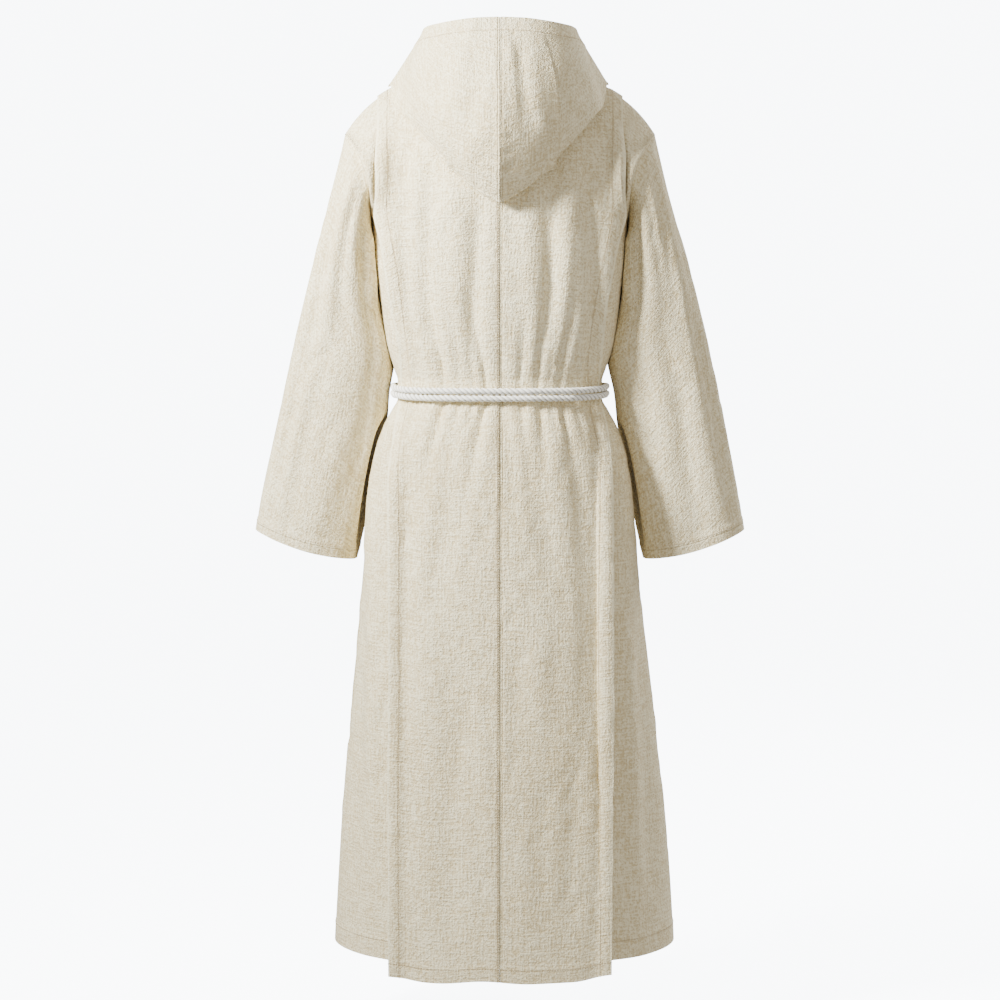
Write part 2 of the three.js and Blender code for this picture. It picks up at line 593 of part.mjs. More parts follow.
function hood(name, hand) {
  const paths = HOOD.map(hoodPath);
  const inner = paths.map((path, i) =>
    path.map((p, k) => {
      const before = paths[Math.max(0, i - 1)][k];
      const after = paths[Math.min(paths.length - 1, i + 1)][k];
      const down = path[Math.min(path.length - 1, k + 1)].clone().sub(path[Math.max(0, k - 1)]);
      const normal = after.clone().sub(before).cross(down);
      if (i === 0) normal.x = 0;
      return p.clone().addScaledVector(normal.normalize(), CLOTH);
    }),
  );
  for (const p of [...paths[0], ...inner[0]]) p.x = SEAM_GAP / 2;
  for (const p of [...paths.flat(), ...inner.flat()]) p.x *= hand;
  wall(name, paths, inner, false);
}

// The taut line round the cloth under the belt, moved out by a distance, as evenly spaced points.
function beltLine(out, count) {
  const ring = Array.from({ length: 720 }, (_, i) => {
    const angle = (i / 720) * 2 * Math.PI - Math.PI / 2;
    const way = new THREE.Vector2(Math.cos(angle), Math.sin(angle));
    const reach = (p) => p.x * way.x + p.y * way.y;
    const furthest = underBelt.reduce((a, b) => (reach(b) > reach(a) ? b : a));
    return new THREE.Vector2(furthest.x, furthest.y).addScaledVector(way, out);
  });
  const start = ring.findIndex((p, i) => p.x <= KNOT_X && ring[i + 1].x > KNOT_X && p.y < 0);
  const line = [...ring.slice(start + 1), ...ring.slice(0, start + 1)];
  const lengths = [0];
  for (let i = 1; i < line.length; i++) lengths.push(lengths[i - 1] + line[i].distanceTo(line[i - 1]));
  const total = lengths[lengths.length - 1];
  return Array.from({ length: count + 1 }, (_, i) => {
    const at = mix(6, total - 6, i / count);
    const next = lengths.findIndex((l) => l >= at);
    const share = (at - lengths[next - 1]) / (lengths[next] - lengths[next - 1]);
    return line[next - 1].clone().lerp(line[next], share);
  });
}

function rope(points, steps) {
  const section = new THREE.Shape();
  for (let i = 0; i < ROPE_SIDES; i++) {
    const angle = (2 * Math.PI * (i + 0.5)) / ROPE_SIDES;
    section[i ? "lineTo" : "moveTo"](ROPE_RADIUS * Math.cos(angle), ROPE_RADIUS * Math.sin(angle));
  }
  section.closePath();
  const extrudePath = new THREE.CatmullRomCurve3(points);
  return new THREE.ExtrudeGeometry(section, { steps, extrudePath, bevelEnabled: false });
}

function knotShape(grow) {
  const geometry = new THREE.SphereGeometry(1, 16, 12);
  const at = geometry.getAttribute("position");
  for (let i = 0; i < at.count; i++) {
    const p = new THREE.Vector3().fromBufferAttribute(at, i);
    p.divideScalar((p.x ** 4 + p.y ** 4 + p.z ** 4) ** 0.25);
    at.setXYZ(
      i,
      knot.x + p.x * (KNOT_HALF.x + grow),
      knot.y + p.y * (KNOT_HALF.y + grow),
      knot.z + p.z * (KNOT_HALF.z + grow),
    );
  }
  return geometry;
}

function solid(geometry) {
  const bare = geometry.clone();
  bare.deleteAttribute("normal");
  bare.deleteAttribute("uv");
  const merged = mergeVertices(bare, 1e-4);
  return new wasm.Manifold(
    new wasm.Mesh({
      numProp: 3,
      vertProperties: merged.attributes.position.array,
      triVerts: new Uint32Array(merged.index.array),
    }),
  );
}
function faceted(manifold) {
  const mesh = manifold.getMesh();
  const geometry = new THREE.BufferGeometry();
  geometry.setAttribute("position", new THREE.BufferAttribute(new Float32Array(mesh.vertProperties), 3));
  geometry.setIndex([...mesh.triVerts]);
  geometry.computeVertexNormals();
  return geometry;
}

tunicPanel("tunic_back", 1);
tunicPanel("tunic_front", -1);
sleeve("sleeve_left", 1);
sleeve("sleeve_right", -1);
scapularPanel("scapular_back_left", 1, 1);
scapularPanel("scapular_back_right", 1, -1);
scapularPanel("scapular_front", -1, 0);
hood("hood_left", 1);
hood("hood_right", -1);

// The belt lies on the cloth, and its ends go into the knot.
const belt = beltLine(ROPE_RADIUS + ROPE_SEAT, BELT_STEPS);
const knot = new THREE.Vector3(KNOT_X, belt[0].y + ROPE_RADIUS + ROPE_SEAT - KNOT_HALF.y - 0.8, BELT_Z);
const knotHole = solid(knotShape(SEAM_GAP));
add("belt_knot", knotShape(0), COTTON_ROPE);
for (const [name, turn] of [["belt_upper", 0.5], ["belt_lower", -0.5]]) {
  const points = belt.map((p) => new THREE.Vector3(p.x, p.y, BELT_Z + turn * ROPE_APART));
  add(name, faceted(solid(rope(points, BELT_STEPS)).subtract(knotHole)), COTTON_ROPE);
}

// Its two ends hang down in front.
END_SPREAD.forEach((spread, i) => {
  const points = END_PATH.map((row) => {
    const x = KNOT_X + spread * row.spread;
    const level = levelOf(row.z);
    const q = qOf(x / halfWidth(row.z), squareness(row.z));
    const cloth = -plainBody(-1, q, level).y + scapularLift(row.z) + CLOTH;
    return new THREE.Vector3(x, Math.min(knot.y, -cloth - ROPE_RADIUS - row.out), row.z);
  });
  add(["belt_end_left", "belt_end_right"][1 - i], faceted(solid(rope(points, 16)).subtract(knotHole)), COTTON_ROPE);
});

export default habit;
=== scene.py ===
# %% [markdown]
# # A hooded religious habit, worn and seen from behind
# The habit is a long linen tunic with wide sleeves, a scapular over it with a hood on its neck, and a
# doubled rope round the waist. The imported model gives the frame: every size below is the same as in
# the solids, so the fine cloth made here lies where the plain walls are.
# %% Load the frame
import math

import bpy
import numpy as np
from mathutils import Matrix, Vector


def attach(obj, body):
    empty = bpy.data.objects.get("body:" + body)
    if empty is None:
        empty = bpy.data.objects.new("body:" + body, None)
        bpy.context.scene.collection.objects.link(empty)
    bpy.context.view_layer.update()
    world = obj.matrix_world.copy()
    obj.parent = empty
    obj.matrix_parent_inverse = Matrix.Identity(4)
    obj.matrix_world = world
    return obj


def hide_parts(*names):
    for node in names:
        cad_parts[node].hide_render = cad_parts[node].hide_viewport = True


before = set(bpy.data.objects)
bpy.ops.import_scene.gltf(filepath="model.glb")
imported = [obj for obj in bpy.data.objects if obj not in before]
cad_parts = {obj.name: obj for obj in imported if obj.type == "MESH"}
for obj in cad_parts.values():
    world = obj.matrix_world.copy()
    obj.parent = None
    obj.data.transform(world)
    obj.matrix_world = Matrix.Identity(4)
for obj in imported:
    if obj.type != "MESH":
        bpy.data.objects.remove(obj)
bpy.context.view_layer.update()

MM = 0.001

# %% [markdown]
# ## The camera
# The photograph looks at the back from a little above the waist, from far away with a long lens, so
# that the sides hardly converge. Distance and lens are worked out from the width that one picture
# shows at the habit's middle plane.
# %% Camera
AIM = (0.0, 0.0, -0.690)
CAMERA_FAR = 5.0
CAMERA_UP = math.radians(3)
SHOWN_WIDTH = 1.6
SENSOR = 36.0

lens = bpy.data.cameras.new("camera")
lens.sensor_width = SENSOR
lens.lens = SENSOR * CAMERA_FAR / SHOWN_WIDTH
camera = bpy.data.objects.new("camera", lens)
bpy.context.scene.collection.objects.link(camera)
camera.location = (
    AIM[0],
    AIM[1] + CAMERA_FAR * math.cos(CAMERA_UP),
    AIM[2] + CAMERA_FAR * math.sin(CAMERA_UP),
)
camera.rotation_euler = (math.pi / 2 - CAMERA_UP, 0, math.pi)
bpy.context.scene.camera = camera
print("lens", round(lens.lens, 1), "mm")

# %% [markdown]
# ## Curves through short tables
# A maker's sizes come as a few rows: a height, a half width, a depth. One monotone curve through each
# column gives every size between them and never swings past a row.
# %% Columns of a table
def column(table, key, name):
    rows = sorted(table, key=lambda row: row[key])
    xs = np.array([row[key] for row in rows], float)
    ys = np.array([row[name] for row in rows], float)
    rise = np.diff(ys) / np.diff(xs)
    slope = np.concatenate([rise[:1], np.zeros(len(xs) - 2), rise[-1:]])
    for i in range(1, len(xs) - 1):
        before, after = rise[i - 1], rise[i]
        slope[i] = 0 if before * after <= 0 else 2 * before * after / (before + after)

    def at(value):
        x = np.clip(value, xs[0], xs[-1])
        i = np.clip(np.searchsorted(xs, x) - 1, 0, len(xs) - 2)
        long = xs[i + 1] - xs[i]
        t = (x - xs[i]) / long
        return (
            ys[i] * (1 + 2 * t) * (1 - t) ** 2
            + ys[i + 1] * t * t * (3 - 2 * t)
            + long * t * (1 - t) * (slope[i] * (1 - t) - slope[i + 1] * t)
        )

    return at


def table(names, *rows):
    return [dict(zip(names.split(), row)) for row in rows]


def mix(a, b, t):
    return a + (b - a) * t


def smooth(x):
    t = np.clip(x, 0, 1)
    return t * t * (3 - 2 * t)


def bell(x):
    return np.exp(-x * x)


# %% [markdown]
# ## The form of the worn habit
# The same sections as in the solids: rings of the tunic from hem to armpit, and above them a form
# that closes in to the shoulder seams and the neck. A place on it is read by side (1 behind, -1 in
# front), q (-1 to 1 between the side seams) and level (-1 hem, 0 armpit, 1 shoulder and neck).
# %% Sizes of the tunic and the scapular
CLOTH = 1.6
SEAM_GAP = 0.3
HEM_RAISE = 0.8
HEM_STEP = 3.0
HEM_Z, ARMPIT_Z, BELT_Z = -1395.0, -245.0, -513.0
TUNIC_HEM = 31.0
NECK_HALF, NAPE_Y, THROAT_Y, THROAT_DROP, NECK_Z = 82.0, 66.0, 93.0, 82.0, -4.0
SHOULDER_HALF, SHOULDER_SLOPE, SHOULDER_ROUND = 246.0, 52.0, 51.0
ARMPIT_HALF, ARMHOLE_DEPTH, CHEST_SQUARE = 203.0, 75.0, 2.4
SCAPULAR_TOP, SCAPULAR_HEM_Z, SCAPULAR_HEM, SIDE_HEM = 193.0, -1428.0, 23.0, 19.0
TOP_Z = -47.0
BELT_BAND = 14.0

SECTIONS = table(
    "z half back front square",
    (-1430, 273, 198, 188, 2.15),
    (-1395, 272, 196, 186, 2.15),
    (-1230, 262, 184, 175, 2.15),
    (-1040, 246, 170, 162, 2.2),
    (-848, 230, 157, 150, 2.2),
    (-740, 220, 149, 143, 2.2),
    (-640, 205, 141, 136, 2.25),
    (-580, 190, 134, 129, 2.3),
    (-545, 172, 125, 121, 2.3),
    (-527, 163, 119, 116, 2.3),
    (-499, 163, 119, 116, 2.3),
    (-482, 168, 122, 119, 2.3),
    (-440, 181, 128, 124, 2.3),
    (-390, 188, 132, 128, 2.35),
    (-310, 199, 136.5, 131.5, 2.4),
    (-245, 203, 137, 132, 2.4),
)
SCAPULAR_EDGE = table(
    "z half",
    (-1430, 169),
    (-900, 171),
    (-640, 171),
    (-580, 167),
    (-530, 157),
    (-513, 154),
    (-492, 155),
    (-436, 160),
    (-380, 166),
    (-300, 177),
    (-228, 188),
    (TOP_Z, SCAPULAR_TOP),
)
SCAPULAR_LIFT = table(
    "z lift",
    (-1430, 5),
    (-1000, 4),
    (-640, 2.5),
    (-545, 1.0),
    (-513, 0.8),
    (-480, 1.0),
    (-400, 2),
    (-245, 2),
    (0, 0.9),
)
half_width = column(SECTIONS, "z", "half")
back_depth = column(SECTIONS, "z", "back")
front_depth = column(SECTIONS, "z", "front")
squareness = column(SECTIONS, "z", "square")
scapular_half = column(SCAPULAR_EDGE, "z", "half")
scapular_lift = column(SCAPULAR_LIFT, "z", "lift")


# %% The plain form
# Powers that shape the top: the round of the throat and how late the armhole flares, how the chest
# closes in to the shoulder seam, and how the edge of the armhole bows out behind and in front.
NECK_CURVE, ARMHOLE_FLARE = 0.6, 2.6
TOP_SQUARE, TOP_CLOSE = 1.8, 0.75
BOW_MIDDLE, BOW_EDGE, BOW_TURN, BOW_REACH = 1.4, 0.6, 40, 10


def level_of(z):
    return (z - ARMPIT_Z) / (ARMPIT_Z - HEM_Z)


def height_of(level):
    low = ARMPIT_Z + level * (ARMPIT_Z - HEM_Z)
    return np.where(level <= 0, low, mix(ARMPIT_Z, TOP_Z, level))


def across(q, square):
    return np.sign(q) * np.abs(np.sin(np.pi * q / 2)) ** (2 / square)


def inward(q, square):
    return np.maximum(0, np.cos(np.pi * q / 2)) ** (2 / square)


def q_of(share, square):
    return np.sign(share) * 2 * np.arcsin(np.minimum(1, np.abs(share)) ** (square / 2)) / np.pi


def top_z(side, x):
    out = np.abs(x)
    t = (out - NECK_HALF) / (SHOULDER_HALF - NECK_HALF)
    seam = NECK_Z - SHOULDER_SLOPE * t - SHOULDER_ROUND * np.maximum(t, 0) ** 4
    round_neck = np.maximum(0, 1 - (out / NECK_HALF) ** 2) ** NECK_CURVE
    return np.where(out < NECK_HALF, NECK_Z - (THROAT_DROP * round_neck if side < 0 else 0), seam)


def top_y(side, x):
    return (NAPE_Y if side > 0 else THROAT_Y) * np.sqrt(np.maximum(0, 1 - (x / NECK_HALF) ** 2))


def armhole_half(level):
    return mix(ARMPIT_HALF, SHOULDER_HALF, np.maximum(level, 0) ** ARMHOLE_FLARE)


def edge_half(level):
    return np.where(level <= 0, half_width(height_of(level)), armhole_half(level))


def square_at(level):
    return np.where(level <= 0, squareness(height_of(level)), CHEST_SQUARE)


def plain_body(side, q, level):
    z = ARMPIT_Z + np.minimum(level, 0) * (ARMPIT_Z - HEM_Z)
    square = squareness(z)
    depth = back_depth if side > 0 else front_depth
    low = np.stack([half_width(z) * across(q, square), side * depth(z) * inward(q, square), z], -1)
    up = np.clip(level, 0, 1)
    share = across(q, CHEST_SQUARE)
    top_x = SHOULDER_HALF * share
    rounding = np.maximum(0, 1 - up**TOP_SQUARE) ** TOP_CLOSE
    bow = np.maximum(0, np.sin(np.pi * up)) ** mix(BOW_MIDDLE, BOW_EDGE, np.abs(share) ** BOW_TURN)
    y = mix(top_y(side, top_x), depth(ARMPIT_Z) * inward(q, CHEST_SQUARE), rounding)
    y = side * (y + ARMHOLE_DEPTH * bow * np.abs(share) ** BOW_REACH)
    high = np.stack([armhole_half(up) * share, y, mix(ARMPIT_Z, top_z(side, top_x), up)], -1)
    return np.where((level <= 0)[..., None], low, high)


# %% [markdown]
# Cloth lies outside or inside this form by so many millimetres, measured square to it. The form's own
# direction comes from two nearby places on it, and that of a grid of points from its neighbours.
# %% Outward directions
NUDGE = 0.004  # how far apart, as a share of q and level
AT_SEAM = 0.999  # a q or level past this lies on the side seam or the shoulder seam


def unit(v):
    return v / np.maximum(np.linalg.norm(v, axis=-1, keepdims=True), 1e-9)


def on_seam(q, level):
    # The side seams, and at the top the shoulder seams beside the neck.
    beside_neck = SHOULDER_HALF * np.abs(across(q, CHEST_SQUARE)) > NECK_HALF - 0.5
    return ((np.abs(q) > AT_SEAM) & (level <= 0)) | ((level > AT_SEAM) & beside_neck)


def outward(side, q, level):
    high = np.minimum(1, level + NUDGE)
    along = plain_body(side, np.minimum(1, q + NUDGE), level)
    along = along - plain_body(side, np.maximum(-1, q - NUDGE), level)
    up = plain_body(side, q, high) - plain_body(side, q, high - 2 * NUDGE)
    normal = np.cross(up, along) * side
    normal[..., 1] = np.where(on_seam(q, level), 0, normal[..., 1])
    return unit(normal)


def face_normals(face, facing):
    # Square to a grid of points, by the differences along its rows and its columns.
    along = np.gradient(face, axis=1)
    up = np.gradient(face, axis=0)
    return unit(np.cross(up, along) * facing)


# %% [markdown]
# ## Creases placed one by one
# Pressed linen doesn't fold evenly. Each crease is one row: where it starts and ends on the cloth
# seen square on, how deep it is pressed in (a negative depth is a ridge), how wide it is, and how
# much it bends. A trough has a soft lip on either side, and it fades out towards both ends.
# %% Creases
CREASE = "x0 z0 x1 z1 depth width bend"
LIP_HEIGHT, LIP_WIDTH = 0.35, 2.3  # the soft lip, as shares of the depth and the width
FADE_PAST, FADE_IN, FADE_OUT = 0.12, 0.3, 0.45  # shares of the length


def creases(x, z, rows):
    total = np.zeros_like(x)
    for row in rows:
        dx, dz = row["x1"] - row["x0"], row["z1"] - row["z0"]
        long = math.hypot(dx, dz)
        s = ((x - row["x0"]) * dx + (z - row["z0"]) * dz) / long**2
        d = ((x - row["x0"]) * dz - (z - row["z0"]) * dx) / long
        d = d - row["bend"] * np.sin(np.pi * np.clip(s, 0, 1))
        fade = smooth((s + FADE_PAST) / FADE_IN) * smooth((1 + FADE_PAST - s) / FADE_OUT)
        shape = bell(d / row["width"]) - LIP_HEIGHT * bell(d / (LIP_WIDTH * row["width"]))
        total = total + row["depth"] * fade * shape
    return total


def scattered(seed, count, box, long, depth, width, lean):
    # Rows for small creases of one kind, spread over a box with a fixed seed.
    random = np.random.default_rng(seed)
    x0, x1, z0, z1 = box
    rows = []
    for _ in range(count):
        x, z = random.uniform(x0, x1), random.uniform(z0, z1)
        run = random.uniform(0.5, 1.3) * long
        tilt = random.normal(lean, 0.35)
        half = (0.5 * run * math.sin(tilt), 0.5 * run * math.cos(tilt))
        press = random.uniform(0.4, 1) * depth * random.choice([1, 1, -0.7])
        wide = random.uniform(0.7, 1.3) * width
        bend = random.normal(0, 0.05) * run
        rows.append((x - half[0], z + half[1], x + half[0], z - half[1], press, wide, bend))
    return table(CREASE, *rows)


# %% [markdown]
# The belt presses the cloth into gathers that run up and down from it, deepest a hand's breadth away
# and flat under the rope. They are given as places across the scapular, as the rope crosses them.
# %% Gathers at the belt
GATHER = "share depth width up down lean"
AT_ROPE, ROPE_NEAR = 0.6, 20  # gathers are this much shallower at the rope, and full this far from it
PRESS_ABOVE, PRESS_BELOW = 1.2, 1.5
GATHER_WIDENS, GATHER_SPREADS, LEAN_RUN = 130, 0.0006, 160
BACK_GATHERS = table(
    GATHER,
    (0.93, 5.0, 0.035, 150, 120, 0.02),
    (0.82, 3.5, 0.03, 90, 50, -0.02),
    (0.56, 7.5, 0.04, 170, 120, 0.10),
    (0.40, 2.5, 0.03, 60, 50, 0.05),
    (0.27, 3.5, 0.035, 130, 60, 0.04),
    (0.14, 6.5, 0.04, 140, 150, 0.16),
    (-0.02, 2.0, 0.03, 70, 40, 0.0),
    (-0.20, 4.5, 0.035, 120, 90, -0.04),
    (-0.38, 6.0, 0.04, 150, 70, -0.03),
    (-0.48, 3.0, 0.03, 60, 110, -0.08),
    (-0.59, 6.5, 0.035, 100, 130, -0.05),
    (-0.72, 3.0, 0.03, 80, 60, -0.10),
    (-0.86, 7.5, 0.04, 230, 90, -0.03),
)
FRONT_GATHERS = table(
    GATHER,
    (0.9, 5.0, 0.035, 120, 130, 0.03),
    (0.62, 6.0, 0.04, 150, 100, 0.06),
    (0.44, 4.0, 0.035, 90, 120, 0.04),
    (0.25, 5.5, 0.04, 120, 150, 0.05),
    (-0.16, 5.0, 0.04, 130, 110, -0.03),
    (-0.35, 6.5, 0.04, 100, 140, -0.05),
    (-0.55, 4.0, 0.035, 140, 90, -0.04),
    (-0.74, 6.5, 0.04, 160, 130, -0.08),
    (-0.92, 4.0, 0.035, 90, 110, -0.03),
)


def gathered(side, x, z):
    share = x / scapular_half(z)
    off = z - BELT_Z
    away = np.maximum(0, np.abs(off) - BELT_BAND)
    press = mix(AT_ROPE, 1, smooth(away / ROPE_NEAR)) * np.where(off < 0, PRESS_BELOW, PRESS_ABOVE)
    total = np.zeros_like(x)
    for g in BACK_GATHERS if side > 0 else FRONT_GATHERS:
        run = np.where(off > 0, g["up"], g["down"])
        width = g["width"] * (1 + away / GATHER_WIDENS)
        middle = g["share"] * (1 + GATHER_SPREADS * away) + g["lean"] * away / LEAN_RUN
        d = (share - middle) / width
        shape = bell(d) - 0.3 * bell(d / 2.2)
        total = total + g["depth"] * press * shape * bell(away / run)
    return total


# %% [markdown]
# ## Large soft waves
# Below the belt the skirt falls in a few broad waves, and above it the back blouses softly. The rows
# are for the back and the front in turn; x and z are as seen square on.
# %% Waves of the back and the front
BACK_WAVES = table(
    CREASE,
    (-134, -150, -143, -470, 9.6, 13, 6),
    (-112, -160, -96, -450, -4.8, 14, -5),
    (-74, -200, -78, -440, 7.2, 15, 4),
    (-40, -230, -50, -430, -4, 16, 0),
    (30, -210, 40, -470, 6.4, 15, -4),
    (74, -190, 62, -420, -4.8, 16, 5),
    (108, -170, 112, -440, 7.2, 15, -4),
    (146, -140, 140, -430, 6.4, 12, -4),
    (12, -470, -18, -700, 4.8, 18, 8),
    (76, -560, 118, -900, 5.6, 22, 10),
    (134, -600, 150, -1150, 4.8, 18, -10),
    (-60, -560, -84, -820, 4.8, 20, -8),
    (-120, -580, -138, -1100, 5.6, 18, 8),
    (-150, -640, -154, -1380, 5.6, 9, 0),
    (-20, -900, -58, -1370, 4.8, 26, 12),
    (52, -980, 70, -1380, 5.6, 28, -12),
    (120, -1040, 96, -1390, 4.8, 24, 6),
    (-110, -1080, -96, -1390, 4.8, 22, 6),
    (228, -700, 246, -1390, 8, 20, 6),
    (196, -640, 206, -1380, -6.4, 17, -4),
    (-224, -680, -240, -1390, 8, 20, -6),
    (-194, -620, -210, -1380, -6.4, 16, 4),
    (194, -120, 190, -350, 9, 6, 0),
    (-195, -110, -190, -350, 12, 6, 0),
)
FRONT_WAVES = table(
    CREASE,
    (120, -150, 132, -450, 8, 14, 6),
    (78, -190, 84, -440, -4.8, 16, 4),
    (40, -200, 30, -450, 6.4, 15, -4),
    (-30, -190, -40, -430, 6.4, 16, 5),
    (-84, -170, -70, -450, -4.8, 16, 0),
    (-130, -150, -140, -440, 8, 14, -5),
    (60, -570, 92, -980, 5.6, 24, 8),
    (-50, -560, -76, -900, 5.6, 22, -8),
    (126, -620, 146, -1300, 4.8, 20, 6),
    (-124, -620, -148, -1250, 5.6, 20, -6),
    (10, -820, 30, -1380, 4.8, 28, 10),
    (-70, -1000, -58, -1390, 4.8, 26, -6),
    (224, -700, 244, -1390, 8, 20, 6),
    (-226, -700, -246, -1390, 8, 20, -6),
)
BACK_CRUMPLES = scattered(11, 150, (-165, 165, -1340, -560), 60, 1.8, 7.5, 0.1)
BACK_CRUMPLES += scattered(12, 60, (-170, 170, -450, -180), 70, 1.4, 7.5, 0.0)
FRONT_CRUMPLES = scattered(13, 170, (-170, 170, -1340, -160), 60, 1.7, 7.5, -0.1)
SIDE_CRUMPLES = scattered(14, 60, (172, 262, -1340, -600), 80, 1.9, 8, -0.05)
SIDE_CRUMPLES += scattered(15, 60, (-262, -172, -1340, -600), 80, 1.9, 8, 0.05)


CALM_NEAR_ROPE, CALM_FROM_TOP, CALM_TOP = 40, 20, 90
ARM_EDGE, ARM_EDGE_WIDTH = 0.955, 0.03  # shares of the half width, beside the sleeve
ARM_EDGE_LOW, ARM_EDGE_FADE = 420, 90


def pressed(side, x, z):
    # How far the cloth lies inside its plain form; none is pushed out under the rope, and none is
    # pressed in where the sleeve hides it.
    waves = BACK_WAVES if side > 0 else FRONT_WAVES
    small = (BACK_CRUMPLES if side > 0 else FRONT_CRUMPLES) + SIDE_CRUMPLES
    off = np.maximum(0, np.abs(z - BELT_Z) - BELT_BAND)
    free = smooth(off / CALM_NEAR_ROPE) * smooth((-CALM_FROM_TOP - z) / CALM_TOP)
    beside = smooth((np.abs(x) / half_width(z) - ARM_EDGE) / ARM_EDGE_WIDTH)
    beside = beside * smooth((z + ARM_EDGE_LOW) / ARM_EDGE_FADE)
    total = gathered(side, x, z) + free * (creases(x, z, waves) + creases(x, z, small))
    total = total * (1 - beside)
    return np.where(off < 1, np.maximum(total, 0), total)


# %% [markdown]
# ## From a grid of points to sewn cloth
# Every panel is one grid of points on its outer face. The wall is that face, an inner face one cloth
# thickness away, and strips that close the edges. Each point keeps how far it is from a line of
# stitches, an edge or the middle seam, in metres, so that the finish can press a line in there, with
# painted shade in the ditches, a painted shadow along the middle seam and a painted highlight along
# the scapular's edges. A plane with a solidify modifier would do too, but then the hems and seams
# couldn't be placed as well.
# %% Making a wall of cloth
def spaced(marks, step):
    values = [marks[0]]
    for a, b in zip(marks, marks[1:]):
        count = max(1, round(abs(b - a) / step))
        values += [a + (b - a) * i / count for i in range(1, count + 1)]
    return np.array(values)


def hem_raise(distance, hem):
    return HEM_RAISE * smooth((hem + HEM_STEP - distance) / HEM_STEP)


def lengths(grid, axis):
    step = np.linalg.norm(np.diff(grid, axis=axis), axis=-1)
    zero = np.zeros_like(np.take(step, [0], axis=axis))
    return np.concatenate([zero, np.cumsum(step, axis=axis)], axis=axis)


def put(name, points, faces, smooth_angle=40):
    mesh = bpy.data.meshes.new(name)
    mesh.from_pydata((np.asarray(points, float) * MM).tolist(), [], np.asarray(faces).tolist())
    mesh.polygons.foreach_set("use_smooth", [True] * len(mesh.polygons))
    mesh.set_sharp_from_angle(angle=math.radians(smooth_angle))
    obj = bpy.data.objects.new(name, mesh)
    bpy.context.scene.collection.objects.link(obj)
    return obj


def quads(rows, cols, start=0, around=False):
    i, j = np.meshgrid(np.arange(rows - 1), np.arange(cols if around else cols - 1), indexing="ij")
    near, far = i * cols + j, i * cols + (j + 1) % cols
    return start + np.stack([near, far, far + cols, near + cols], -1).reshape(-1, 4)


def cloth(name, outer, inner, marks, around=False):
    rows, cols = outer.shape[:2]
    points = np.concatenate([outer.reshape(-1, 3), inner.reshape(-1, 3)])
    half = rows * cols
    j = np.arange(cols if around else cols - 1)
    k = (j + 1) % cols
    last = (rows - 1) * cols
    faces = [quads(rows, cols, 0, around), quads(rows, cols, half, around)[:, ::-1]]
    faces.append(np.stack([half + j, half + k, k, j], -1))
    faces.append(np.stack([last + j, last + k, half + last + k, half + last + j], -1))
    if not around:
        i = np.arange(rows - 1) * cols
        faces.append(np.stack([i, i + cols, half + i + cols, half + i], -1))
        i = i + cols - 1
        faces.append(np.stack([half + i, half + i + cols, i + cols, i], -1))
    faces = np.concatenate(faces)
    a, b, c, d = (points[faces[:, n]] for n in range(4))
    if np.einsum("ij,ij->i", a, np.cross(b, c)).sum() + np.einsum("ij,ij->i", a, np.cross(c, d)).sum() < 0:
        faces = faces[:, ::-1]
    obj = put(name + "_cloth", points, faces)
    middle = cols // 2
    u = lengths(outer, 1)
    flat = np.stack([u - u[:, middle : middle + 1], lengths(outer, 0)], -1) * MM
    flat = np.concatenate([flat.reshape(-1, 2), flat.reshape(-1, 2)])
    layer = obj.data.uv_layers.new(name="cut")
    corner = np.empty(len(obj.data.loops), int)
    obj.data.loops.foreach_get("vertex_index", corner)
    layer.data.foreach_set("uv", flat[corner].ravel())
    for mark in ("from_side", "from_stitch", "from_middle"):
        attribute = obj.data.attributes.new(mark, "FLOAT", "POINT")
        values = np.ones(2 * half)
        if mark in marks:
            values[:half] = np.broadcast_to(marks[mark], (rows, cols)).ravel() * MM
        attribute.data.foreach_set("value", values)
    return obj


# %% [markdown]
# ## The shared ground
# Back and front each have one ground grid that both the tunic and the scapular follow, so the two
# layers never cross. Its rows are closest near the belt and the hems.
# %% Ground grids
STITCH = {"tunic": 28.0, "scapular": 20.0, "side": 16.0, "cuff": 15.0, "rim": 22.0, "middle": 3.5}

LOW_Z = spaced([SCAPULAR_HEM_Z, SCAPULAR_HEM_Z + STITCH["scapular"], -1405, -1402, HEM_Z], 5)
LOW_Z = np.concatenate([LOW_Z, spaced([HEM_Z, -1367, -1364, -1361, -600], 6.5)[1:]])
LOW_Z = np.concatenate([LOW_Z, spaced([-600, -430], 3.2)[1:], spaced([-430, ARMPIT_Z], 6)[1:]])
TOP_ROWS = 60
TOP_LEVELS = (1 - np.cos(np.pi * np.arange(1, TOP_ROWS + 1) / TOP_ROWS)) / 2
LEVELS = np.concatenate([level_of(LOW_Z), TOP_LEVELS])
TUNIC_FROM = int(np.argmin(np.abs(LOW_Z - HEM_Z)))
SIDE_COLUMNS = 26
NECK_SHARE = NECK_HALF / SCAPULAR_TOP
SHARE_COUNTS = (1, 14, 14, 1, 1, 3)  # columns between the middle, its stitches, the neck and the edge


def half_shares(level):
    # Shares of the scapular's half width, from its middle to its edge, for one row.
    wide = float(scapular_half(height_of(level)))
    marks = [0, STITCH["middle"] / wide, NECK_SHARE]
    marks += [1 - (SIDE_HEM + HEM_STEP) / wide, 1 - SIDE_HEM / wide, 1 - STITCH["side"] / wide, 1]
    values = [0.0]
    for a, b, count in zip(marks, marks[1:], SHARE_COUNTS):
        values += [a + (b - a) * i / count for i in range(1, count + 1)]
    return np.array(values)


SHARES = np.stack([half_shares(level) for level in LEVELS])
INNER = SHARES.shape[1]


